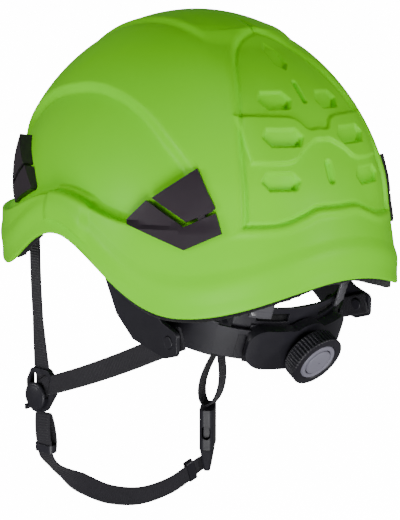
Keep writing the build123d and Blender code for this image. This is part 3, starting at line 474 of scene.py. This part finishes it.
# Side arch: height of the step's upper edge by distance back from the middle.
ARCH = [(-134, 8), (-127, 28), (-116, 46), (-98, 62), (-75, 77), (-49, 88), (-19, 93), (10, 94),
        (37, 89), (62, 78), (84, 61), (98, 47), (105, 36), (110, 26), (115, 11)]
ARCH_SLOPE = 5.0
ARCH_IN = 3.0
ARCH_OUT = 1.6
CROWN_RISE = 2.8
CROWN_BAND = (33, 38.5)  # distance from the middle where the band starts to fall, and its foot
CROWN_REAR = (116, 127)
CROWN_FRONT = (45, 80)
# Rear panel: half-width by height.
PANEL_SIDE = [(16, 59), (21, 58), (30, 57), (52, 54), (74, 48), (91, 41), (108, 31), (117, 22),
              (122, 12), (125, 0)]
PANEL_FOOT = [(0, 24.5), (15, 24.5), (24, 21.5), (38, 17), (50, 16), (70, 16)]
# Hexagonal pockets: distance out, height, half-length across, half-height.
POCKETS = [(21, 86, 11, 5), (27, 64, 13, 5), (35, 40, 12, 5)]
POCKET_DEPTH = 4.4
ZIGZAG_LOW = [(0, 62), (6, 62), (16, 57), (28, 50), (60, 50)]
ZIGZAG_HIGH = [(0, 69), (8, 69), (19, 76), (60, 76)]
ZIGZAG_RISE = 1.9
ZIGZAG_REACH = 50
UPPER_SLOT = (84, 97, 3.4)  # lowest height, highest height, width
LOWER_SLOT = (37, 51, 5.0)
SLOT_DEPTH = 2.6
CROWN_POCKET_Z = 111.5
CROWN_POCKET_DEPTH = 2.2
PANEL_DEPTH = 1.5
PANEL_LOWER_LOSS = 0.7  # how much shallower the panel is at its lower end
SOCKET_COVER_Y = (3, 41)


def curve_at(value, points):
    """Smooth curve through (value, height) points, with its slope."""
    flat = [(a, b, 0) for a, b in points]
    line, _, _ = smooth_path(flat, 1.0)
    order = np.argsort(line[:, 0])
    xs, ys = line[order, 0], line[order, 1]
    height = np.interp(value, xs, ys)
    slope = (np.interp(value + 1, xs, ys) - np.interp(value - 1, xs, ys)) / 2
    return height, slope


def arch_relief(x, y, z, angle):
    """Sloping step that runs over each side in an arch, with the side sunk below it."""
    height, slope = curve_at(y, ARCH)
    inside = ease((height - z) / np.sqrt(1 + slope**2) / ARCH_SLOPE)
    ledge = height_at(angle, LEDGE)
    fade = between(z, ledge - LEDGE_RISE, ledge + 1)
    apart = between(np.abs(x), 25, 45)
    outside = (1 - inside) * between(z, 16, 40)
    return (-ARCH_IN * inside * fade + ARCH_OUT * outside) * apart


def crown_relief(x, y, z):
    """Raised band over the top, with a chamfer each side."""
    band = 1 - between(np.abs(x), *CROWN_BAND)
    rear = between(z, *CROWN_REAR)
    front = between(z, *CROWN_FRONT)
    return CROWN_RISE * band * np.where(y > 0, rear, front)


def pocket(along, across, half_long, half_wide):
    """Distance inside a hexagon with its points at the ends of the long way."""
    flat = half_wide - np.abs(across)
    ends = (half_long - np.abs(along) - 0.75 * np.abs(across)) / 1.25
    return np.minimum(flat, ends)


def slot_relief(x, z, low, high, width):
    """Upright slot with round ends on the centre line."""
    centre = np.clip(z, low + width / 2, high - width / 2)
    inside = width / 2 - np.hypot(x, z - centre)
    return -SLOT_DEPTH * ease(inside / 1.2 + 0.3)


def panel_relief(x, y, z):
    """Sunk rear panel with its pockets, centre slots and raised zigzag."""
    out = np.abs(x)
    side, slope = curve_at(z, PANEL_SIDE)
    foot, _ = curve_at(out, PANEL_FOOT)
    inside = np.minimum((side - out) / np.sqrt(1 + slope**2), z - foot)
    lower = 1 - between(z, 30, 75)
    depth = PANEL_DEPTH - PANEL_LOWER_LOSS * lower
    rise = -depth * ease(inside / 1.8 + 0.5)
    rise -= (1.0 + 0.9 * lower) * np.exp(-((inside / 1.1) ** 2))
    rise += 1.0 * np.exp(-(((inside + 3.6) / 2.4) ** 2)) * (0.4 + 0.6 * lower)
    low, _ = curve_at(out, ZIGZAG_LOW)
    high, _ = curve_at(out, ZIGZAG_HIGH)
    band = np.minimum(np.minimum(z - low, high - z), ZIGZAG_REACH - out)
    rise += ZIGZAG_RISE * ease(band / 2.2 + 0.4)
    for centre_x, centre_z, half_long, half_high in POCKETS:
        within = pocket(out - centre_x, z - centre_z, half_long, half_high)
        ramp = 0.25 + 0.75 * np.clip((centre_z + half_high - z) / (2 * half_high), 0, 1)
        rise -= POCKET_DEPTH * ramp * ease(within / 1.3 + 0.3)
    within = pocket(z - CROWN_POCKET_Z, x, 8, 5)
    rise -= CROWN_POCKET_DEPTH * np.clip((119 - z) / 13, 0.3, 1) * ease(within / 1.3 + 0.3)
    rise += slot_relief(x, z, *UPPER_SLOT) + slot_relief(x, z, *LOWER_SLOT)
    return rise * between(y, 40, 60)


def flange_relief(y, z, angle):
    """Ear-muff socket covers on the flange and a soft crease along the lower band."""
    ledge = height_at(angle, LEDGE)
    above_rim = z - height_at(angle, RIM)
    start, end = SOCKET_COVER_Y
    cover = np.minimum(np.minimum(y - start, end - y), np.minimum(ledge + 2 - z, above_rim - 7))
    sides = np.sin(np.radians(angle)) ** 2
    crease = between(above_rim, 5, 16) * (1 - between(above_rim, 16.5, 25))
    return 2.0 * ease(cover / 1.6 + 0.3) * sides + 1.1 * crease


def relief(points, angle):
    """All of the shell's relief, in mm outward."""
    x, y, z = points[..., 0], points[..., 1], points[..., 2]
    total = arch_relief(x, y, z, angle) + crown_relief(x, y, z)
    return total + panel_relief(x, y, z) + flange_relief(y, z, angle)


def shell_outside():
    """Outer face with its relief and the rolled edge under it, finest over the rear panel."""
    rear = np.linspace(153, 207, 151)
    rest = np.linspace(207, 513, 211)[1:-1]
    angles = np.concatenate([rear, rest])
    angles = np.where(angles > 180, angles - 360, angles)
    shares = np.concatenate([np.linspace(0, 0.8, 236), np.linspace(0.8, 1, 27)[1:]])
    points = dome_grid(angles, shares)
    normals = grid_normals(points)
    points = points + normals * relief(points, angles[None, :])[..., None]
    outward = unit(points[0] * (1, 1, 0))
    roll = []
    for turn in np.linspace(pi, 0, 8)[:-1]:
        inset = WALL / 2 * (1 - cos(turn))
        drop = WALL / 2 * sin(turn)
        roll.append(points[0] - outward * inset - Z_AXIS * drop)
    points = np.concatenate([np.stack(roll), points])
    faces = grid_faces(*points.shape[:2], True)
    piece = make_piece("shell_outside", points.reshape(-1, 3), faces)
    return stand_for(piece, "shell")


def shell_inside():
    """Inner face, one wall inside the outer one."""
    angles = np.linspace(-180, 180, 145)[:-1]
    shares = np.linspace(0, 1, 90)
    points = dome_grid(angles, shares)
    normals = grid_normals(points)
    points = points + normals * (relief(points, angles[None, :]) - WALL)[..., None]
    faces = [face[::-1] for face in grid_faces(*points.shape[:2], True)]
    piece = make_piece("shell_inside", points.reshape(-1, 3), faces)
    return stand_for(piece, "shell")


# ---- lamp clips -----------------------------------------------------------------------------------
CLIP_PROUD = 3.8
CLIP_CURVE = 125.0
CLIP_FACET = (-17.0, 13.0)
CLIP_OVER_SHELL = 2.0  # the least that a plate or hook stands over the shell's own relief
CLIP_BURIED = 1.4
CLIP_CELL = 2.5
CLIP_REACH = 32.5  # the cells run this far each way
CLIP_AWAY = 40  # height from which the shell below a clip is measured
CLIP_EDGE = 1.0
CLIP_PLATE = [(-14.5, 0.5), (11.5, 18), (23, -4), (21, -6.3), (6.5, -12.5)]
CLIP_HOOK = [(23.4, -7), (27, -18.5), (6, -28.5), (-29, -15), (-30.5, -12.5), (-18, -1), (5, -15.5)]
CLIP_BRIDGE = [(12.5, -9), (16.5, -7), (18, -11), (14, -13)]
CLIP_PLACES = {
    "rear": ((84.5, 93.0, 30.0), (0.788, 0.597, 0.141), 1),
    "front": ((100.9, -58.0, 41.0), (0.943, -0.292, 0.16), -1),
}


def cut_sheet(outline):
    """Flat outline cut into small cells, facing up: its points, faces and edge pairs."""
    bm = bmesh.new()
    bm.faces.new([bm.verts.new((u, v, 0)) for u, v in outline])
    for direction in ((1, 0, 0), (0, 1, 0)):
        for place in np.arange(-CLIP_REACH, CLIP_REACH + 0.5, CLIP_CELL):
            parts = bm.verts[:] + bm.edges[:] + bm.faces[:]
            centre = tuple(place * d for d in direction)
            bmesh.ops.bisect_plane(bm, geom=parts, dist=1e-4, plane_co=centre, plane_no=direction)
    bm.normal_update()
    for face in bm.faces:
        if face.normal.z < 0:
            face.normal_flip()
    bm.verts.index_update()
    points = [(vert.co.x, vert.co.y) for vert in bm.verts]
    faces = [[vert.index for vert in face.verts] for face in bm.faces]
    rim = [(edge.link_loops[0].vert.index, edge.link_loops[0].link_loop_next.vert.index)
           for edge in bm.edges if edge.is_boundary]
    bm.free()
    return points, faces, rim


def lamp_clip(end, side, name, surface):
    """Plate over a V-shaped hook, joined by one bridge, standing on the shell's relief."""
    point, normal, flip = CLIP_PLACES[end]
    normal = unit(normal)
    across = unit(np.cross(Z_AXIS, normal))
    up = np.cross(normal, across)

    def place(u, v, out):
        return np.asarray(point) + across * u * flip + up * v + normal * out

    points = []
    faces = []
    for outline, drop in ((CLIP_PLATE, 0), (CLIP_HOOK, 0), (CLIP_BRIDGE, 0.8)):
        flat, cells, rim = cut_sheet(outline)
        high = []
        low = []
        for u, v in flat:
            hit = surface.ray_cast(Vector(place(u, v, CLIP_AWAY)), Vector(-normal))
            ground = CLIP_AWAY - hit[3]
            dome = CLIP_PROUD - CLIP_CURVE + np.sqrt(CLIP_CURVE**2 - u**2 - v**2)
            start, slope = CLIP_FACET
            if u < start:
                dome = min(dome, CLIP_PROUD - 1 - np.tan(radians(slope)) * (start - u))
            high.append(place(u, v, max(dome, ground + CLIP_OVER_SHELL) - drop))
            low.append(place(u, v, ground - CLIP_BURIED))
        first = len(points)
        last = first + len(flat)
        points += high + low
        faces += [[first + i for i in cell] for cell in cells]
        faces += [[last + i for i in reversed(cell)] for cell in cells]
        faces += [[last + a, last + b, first + b, first + a] for a, b in rim]
    points = np.array(points) * (side, 1, 1)
    if side * flip < 0:
        faces = [face[::-1] for face in faces]
    piece = make_piece(name + "_moulded", points, faces)
    round_edges(piece, CLIP_EDGE)
    return stand_for(piece, name)


# ---- straps -------------------------------------------------------------------------------------
def adjuster_side(side):
    """Direction across an adjuster, towards the back."""
    return np.array((-side * sin(ADJUSTER_TURN), cos(ADJUSTER_TURN), 0))


def in_adjuster(side, across, up, out):
    """Place in an adjuster's own directions: across towards the back, up, and out from its middle."""
    outward = np.array((side * cos(ADJUSTER_TURN), sin(ADJUSTER_TURN), 0))
    return ADJUSTER[side] + adjuster_side(side) * across + Z_AXIS * up + outward * out


def front_strap(side, name):
    """Strap from the shell's front holder down behind the adjuster's top bar."""
    x, y, z = FRONT_STRAP_TOP
    top = np.array((side * x, y, z))
    end = in_adjuster(side, -1, 17, -0.5)
    bow = np.array((side * 1.2, 0, 0))
    path = [top, top * 0.66 + end * 0.34 + bow, top * 0.33 + end * 0.67 + bow, end,
            in_adjuster(side, -1, 9, -2.0), in_adjuster(side, -1.5, 0, -2.2), in_adjuster(side, -2, -9, -2.4)]
    widths = [(0, 1, 0.08), (0, 1, 0.08), (0, 1, 0.04)] + [adjuster_side(side)] * 4
    return stand_for(webbing(name, path, widths), name)


def rear_strap(side, name):
    """Strap from the hub's rivet forward and down, over the adjuster's rear bar and across it."""
    start = REAR_STRAP_START * (side, 1, 1)
    bar = in_adjuster(side, 14.5, 7, 3.4)
    run = unit(start - bar)
    wide = np.cross(X_AXIS, run)
    sag = np.array((0, 0, -1.6))
    path = [start + run * REAR_STRAP_TAIL, start, start * 0.66 + bar * 0.34 + sag,
            start * 0.33 + bar * 0.67 + sag, bar, in_adjuster(side, 7, 4.5, 1.6),
            in_adjuster(side, 1, 0.5, 0.4), in_adjuster(side, -5, -5, 0.2)]
    slant = adjuster_side(side) * -0.62 + Z_AXIS * 0.78
    widths = [wide * -1] * 5 + [slant, slant, slant]
    return stand_for(webbing(name, path, widths, width=14.0), name)


def left_loop():
    """Two layers of webbing from the left adjuster that spread and meet again in the keeper."""
    across = adjuster_side(1)
    half = 14.5
    middle = -ADJUSTER_HEIGHT / 2 - 0.5 - 15
    path = []
    for turn in np.linspace(0, 2 * pi, 28, endpoint=False):
        level = cos(turn)
        gap = 3.2 * sin(turn) * (1 - 0.25 * level)
        path.append(in_adjuster(1, 1.5 - 1.5 * level, middle + half * level, gap))
    return stand_for(webbing("chin_loop_left", path, [across] * len(path), closed=True), "chin_loop_left")


def right_loop():
    """Open drop-shaped loop of webbing from the right adjuster down to the buckle."""
    across = np.array((-sin(LOOP_TURN), cos(LOOP_TURN), 0))
    top = ADJUSTER[-1] - Z_AXIS * (ADJUSTER_HEIGHT / 2 - 2)
    bottom = BUCKLE_POINT + Z_AXIS * (SOCKET_HEIGHT + 0.5)
    rise = unit(top - bottom)
    facing = np.cross(across, rise)
    half = np.linalg.norm(top - bottom) / 2 - 0.8
    path = []
    for turn in np.linspace(0, 2 * pi, 32, endpoint=False):
        level = cos(turn)
        gap = 8.0 * sin(turn) * (1 - 0.45 * level - 0.25 * level**2)
        path.append((top + bottom) / 2 + rise * half * level + across * gap)
    return stand_for(webbing("chin_loop_right", path, [facing] * len(path), closed=True), "chin_loop_right")


def chin_webbing():
    """One length of webbing from the left keeper, under the chin and up to the buckle."""
    path = [(75, -86, -175), (74, -85.5, -182), (69, -82, -190.5), (58, -80, -200), (44, -80, -211.5),
            (22, -80, -225), (-6, -80, -233.6), (-34, -80, -233), (-53, -80, -227.4),
            (-64, -80.5, -223), (-71, -80.5, -221)]
    widths = [(-0.3, 0.95, 0), (-0.25, 0.93, 0.25), (0.25, 0.7, 0.65), (0.6, 0.15, 0.79),
              (0.6, 0, 0.8), (0.45, 0, 0.89), (0.17, 0, 0.98), (-0.15, 0, 0.99), (-0.35, 0, 0.94),
              (-0.3, 0.1, 0.94), (-0.25, 0.2, 0.94)]
    piece = webbing("chin_webbing", path, widths)
    stand_for(piece, "chin_strap", "chin_tail", ride=False)
    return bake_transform(piece)


def cradle_strap(name, reach, base, top, angle):
    """Arched strap over the head between two anchors."""
    turn = radians(angle)
    out = np.array((cos(turn), sin(turn), 0))
    wide = np.array((sin(turn), -cos(turn), 0))
    path = []
    for step in np.linspace(0, pi, 25):
        path.append(out * (reach - 0.7) * cos(step) + Z_AXIS * (base + (top - base - 0.7) * sin(step)))
    piece = webbing(name, path, [wide] * len(path), width=20, thick=1.4, rib=0.22)
    return stand_for(piece, name)


# ---- pads and liner -------------------------------------------------------------------------------
def pad(node, voxel, smoothing):
    """Soft foam pad: the CAD solid remeshed and relaxed, so that its edges draw in."""
    source = frame["nodes"][node]
    piece = bpy.data.objects.new(node + "_soft", source.data.copy())
    bpy.context.scene.collection.objects.link(piece)
    remesh = piece.modifiers.new("remesh", "REMESH")
    remesh.mode = "VOXEL"
    remesh.voxel_size = voxel * MM
    relax = piece.modifiers.new("relax", "SMOOTH")
    relax.factor = 0.5
    relax.iterations = smoothing
    bpy.context.view_layer.update()
    graph = bpy.context.evaluated_depsgraph_get()
    mesh = bpy.data.meshes.new_from_object(piece.evaluated_get(graph))
    piece.modifiers.clear()
    piece.data = mesh
    mesh.polygons.foreach_set("use_smooth", [True] * len(mesh.polygons))
    stand_for(piece, node)
    return piece


# ---- nape unit details ---------------------------------------------------------------------------
def nape_point(radius, angle, height):
    """Point on the nape's tilted circle: angle from the rear towards +X, in degrees."""
    back = np.array((0, cos(NAPE_TILT), -sin(NAPE_TILT)))
    up = np.array((0, sin(NAPE_TILT), cos(NAPE_TILT)))
    turn = radians(angle)
    return NAPE_CENTRE + radius * (X_AXIS * sin(turn) + back * cos(turn)) + up * height


def turned(name, sections, columns):
    """Surface turned about the knob's axis. Each section gives (radius by angle, place along)."""
    turn = np.linspace(0, 2 * pi, columns, endpoint=False)
    out = np.cos(turn)[:, None] * X_AXIS + np.sin(turn)[:, None] * KNOB_UP
    rows = []
    for radius, along in sections:
        reach = radius(turn) if callable(radius) else np.full(columns, float(radius))
        rows.append(KNOB_POINT + out * reach[:, None] + KNOB_AXIS * along)
    points = np.stack(rows)
    return make_piece(name, points.reshape(-1, 3), grid_faces(*points.shape[:2], True))


KNOB_RADIUS = 18.5
KNURLS = 48


def knob():
    """Knurled thumb wheel with a chamfered face, a grey ring in it and a domed cap."""
    def knurled(depth):
        def radius(turn):
            wave_in = np.abs(np.sin(turn * KNURLS / 2)) ** 0.7
            return KNOB_RADIUS - 0.2 - depth * (1 - wave_in)
        return radius

    sections = [(13.5, 12.2), (14.6, 12.0), (15.3, 11.0), (15.5, 7.8), (16.2, 7.4), (17.6, 7.5),
                (knurled(0.2), 8.3), (knurled(1.2), 9.0), (knurled(1.3), 12.5), (knurled(1.2), 16.0),
                (knurled(0.7), 16.9), (knurled(0.2), 17.6), (17.1, 18.1), (16.3, 18.3),
                (13.9, 18.35), (13.5, 18.2), (13.2, 17.7), (12.9, 17.4), (12.9, 16.4), (4, 16.4)]
    stand_for(turned("knob_wheel", sections, KNURLS * 8), "knob")
    band = [(12.7, 16.5), (12.7, 17.6), (12.3, 18.2), (11.7, 18.4), (10.2, 18.4), (9.8, 18.2),
            (9.6, 17.6), (9.6, 16.5)]
    ring = stand_for(turned("knob_ring", band, 96), "knob")
    ring.data.materials[0] = MATERIALS["knob_grey"]
    dome = [(9.0, 16.6), (9.0, 18.2), (8.8, 18.6), (8.3, 18.85), (6, 18.95), (3, 19.0), (0.4, 19.0)]
    stand_for(turned("knob_face", dome, 96), "knob_cap")


BUTTON_HALF_WIDE = 9.6
BUTTON_HALF_HIGH = 10.6
BUTTON_ACROSS = -3.4
BUTTON_UP = -4.6


def lever(side, name):
    """Oval press button of an adjuster: flat underneath, with a domed face."""
    turn = np.linspace(0, 2 * pi, 64, endpoint=False)
    sections = [(0.02, 3.5), (0.88, 3.5), (0.96, 3.9), (1.0, 4.6), (0.99, 5.4), (0.93, 6.2), (0.82, 6.6),
                (0.78, 6.5), (0.72, 6.7), (0.5, 7.1), (0.25, 7.3), (0.02, 7.35)]
    points = []
    for share, out in sections:
        for angle in turn:
            across = BUTTON_ACROSS + share * BUTTON_HALF_WIDE * cos(angle)
            up = BUTTON_UP + share * BUTTON_HALF_HIGH * sin(angle)
            points.append(in_adjuster(side, across, up, out))
    count = len(turn)
    last = (len(sections) - 1) * count
    faces = grid_faces(len(sections), count, True)
    faces += [list(range(count))[::-1], [last + k for k in range(count)]]
    if side < 0:
        faces = [face[::-1] for face in faces]
    return stand_for(make_piece(name + "_button", points, faces), name)


HANGER_RIBS = 9
HANGER_RIB_HEIGHT = 0.55
HANGER_ROWS = 91
HANGER_LOW = 19.4
HANGER_HIGH = 54.2
HANGER_RADIUS = 75.8
# Section of the ribbed strip: angle round the nape's circle, and radius.
HANGER_SECTION = [(20.7, 75.8), (21.1, 76.6), (22.2, 76.7), (24.5, 76.7), (28, 76.7), (30.4, 76.7),
                  (31.5, 76.6), (31.9, 75.8), (31.5, 74.9), (26, 74.8), (21.1, 74.9)]


def hanger(side, name):
    """Glossy flexible strip with shallow cross ribs."""
    last = HANGER_ROWS - 1
    points = []
    for k in range(HANGER_ROWS):
        height = HANGER_LOW + (HANGER_HIGH - HANGER_LOW) * k / last
        rib = HANGER_RIB_HEIGHT * (0.5 - 0.5 * cos(2 * pi * HANGER_RIBS * k / last))
        edge = min(1.0, min(k, last - k) / 2)
        row = []
        for angle, radius in HANGER_SECTION:
            swell = rib if 22 < angle < 31 and radius > 76 else 0
            reach = HANGER_RADIUS + (radius - HANGER_RADIUS) * edge + swell
            row.append(nape_point(reach, side * angle, height))
        points.append(row)
    points = np.array(points)
    columns = points.shape[1]
    faces = grid_faces(HANGER_ROWS, columns, True)
    faces += [list(range(columns)), list(range(last * columns, HANGER_ROWS * columns))[::-1]]
    if side < 0:
        faces = [face[::-1] for face in faces]
    piece = make_piece(name + "_ribs", points.reshape(-1, 3), faces)
    piece.data.materials.append(MATERIALS["hanger_grey"])
    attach(piece, BODY_OF[name])
    return moulded(name, 0.4)


# ---- build every piece ------------------------------------------------------------------------------
outer_face = shell_outside()
shell_inside()
shell_surface = BVHTree.FromPolygons([vert.co / MM for vert in outer_face.data.vertices],
                                     [tuple(face.vertices) for face in outer_face.data.polygons])
for side, word in ((1, "left"), (-1, "right")):
    front_strap(side, "front_strap_" + word)
    rear_strap(side, "rear_strap_" + word)
    hanger(side, "nape_hanger_" + word)
    lever(side, "adjuster_lever_" + word)
    for end in CLIP_PLACES:
        lamp_clip(end, side, f"lamp_clip_{end}_{word}", shell_surface)
left_loop()
right_loop()
chin_webbing()
cradle_strap("cradle_strap_lateral", 101, 26, 98, 0)
cradle_strap("cradle_strap_diagonal_left", 122, 4, 100.6, -52)
cradle_strap("cradle_strap_diagonal_right", 122, 4, 103.2, 52)
knob()
pad("rim_liner", 1.9, 6)
for pad_node in ("crown_pad", "brow_pad", "nape_pad"):
    pad(pad_node, 1.6, 8)

EDGES = {
    "ratchet_housing": 1.4, "nape_band": 0.6, "adjuster_left": 1.6, "adjuster_right": 1.6,
    "buckle_socket": 2.2, "buckle_plug": 1.2,
    "strap_keeper_left": 0.8, "strap_keeper_right": 0.8, "nape_arm_left": 0.35, "nape_arm_right": 0.35,
    "hub_rivet_left": 0.9, "hub_rivet_right": 0.9,
}
PLAIN_EDGE = 0.5
for node, shape in frame["nodes"].items():
    if not shape.hide_render:
        moulded(node, EDGES.get(node, PLAIN_EDGE))


# ---- floor, light and camera -----------------------------------------------------------------------
FLOOR_Z = cad_box[0].z - 0.012
STUDIO_GLOW = 16.0
STUDIO_RADIUS = 8.0
CAMERA_PLACE = (0.4407, 0.5718, 0.1105)
CAMERA_TARGET = (-0.00279, 0.00217, -0.0293)
CAMERA_LENS = 72.9
FILL_LIGHT = 0.13


def studio_surface(name, rows, glow):
    """Pale surface of rings about the Z axis. It glows for the camera and doesn't light the object."""
    count = 96
    turn = np.linspace(0, 2 * pi, count, endpoint=False)
    rings = [np.stack([r * np.cos(turn), r * np.sin(turn), np.full(count, z)], 1) for r, z in rows]
    points = np.stack(rings) / MM
    surface = make_piece(name, points.reshape(-1, 3), grid_faces(len(rows), count, True))
    material, tree, shader, where = start_material(name)
    grain = noise(tree, where, 3, 3)
    colour = mix_colour(tree, grain, (0.93, 0.93, 0.93), (0.96, 0.96, 0.96))
    tree.links.new(colour, shader.inputs["Base Color"])
    tree.links.new(colour, shader.inputs["Emission Color"])
    shader.inputs["Emission Strength"].default_value = glow
    shader.inputs["Roughness"].default_value = 0.9
    surface.data.materials.append(material)
    surface.visible_diffuse = False
    surface.visible_glossy = False
    surface.visible_shadow = False


def make_studio():
    """Floor and round backdrop."""
    floor = [(0.001, FLOOR_Z), (0.4, FLOOR_Z), (1.5, FLOOR_Z), (STUDIO_RADIUS, FLOOR_Z)]
    studio_surface("studio_floor", floor, STUDIO_GLOW)
    lifts = np.linspace(0, pi / 2 - 0.01, 24)
    dome = [(STUDIO_RADIUS * cos(lift), FLOOR_Z + STUDIO_RADIUS * sin(lift)) for lift in lifts]
    studio_surface("studio_backdrop", dome, STUDIO_GLOW)


def area_light(name, place, size, power, colour=(1, 1, 1)):
    """Soft round light that looks at the helmet."""
    data = bpy.data.lights.new(name, "AREA")
    data.shape = "DISK"
    data.size = size
    data.energy = power
    data.color = colour
    light = bpy.data.objects.new(name, data)
    bpy.context.scene.collection.objects.link(light)
    light.location = place
    light.rotation_mode = "QUATERNION"
    light.rotation_quaternion = (Vector((0, 0, -0.03)) - Vector(place)).to_track_quat("-Z", "Y")


def make_camera():
    """Camera at the reference view: rear left, a little above level."""
    data = bpy.data.cameras.new("camera")
    data.lens = CAMERA_LENS
    data.sensor_width = 36
    data.clip_start = 0.01
    camera = bpy.data.objects.new("camera", data)
    bpy.context.scene.collection.objects.link(camera)
    camera.location = CAMERA_PLACE
    target = Vector(CAMERA_TARGET)
    camera.rotation_mode = "QUATERNION"
    camera.rotation_quaternion = (target - camera.location).to_track_quat("-Z", "Y")
    bpy.context.scene.camera = camera


def make_world():
    """Even dim fill from all round."""
    world = bpy.data.worlds.new("studio")
    world.use_nodes = True
    background = world.node_tree.nodes["Background"]
    background.inputs["Color"].default_value = (1, 1, 1, 1)
    background.inputs["Strength"].default_value = FILL_LIGHT
    bpy.context.scene.world = world


make_studio()
make_world()
make_camera()
area_light("front_low", (0.75, 0.95, -0.55), 0.7, 13)
area_light("front_left", (-0.55, 1.20, 0.15), 0.45, 6)
area_light("front_right", (1.3, -0.3, 0.20), 0.45, 7)
area_light("top", (0.4, 0.5, 1.2), 0.4, 1.5)
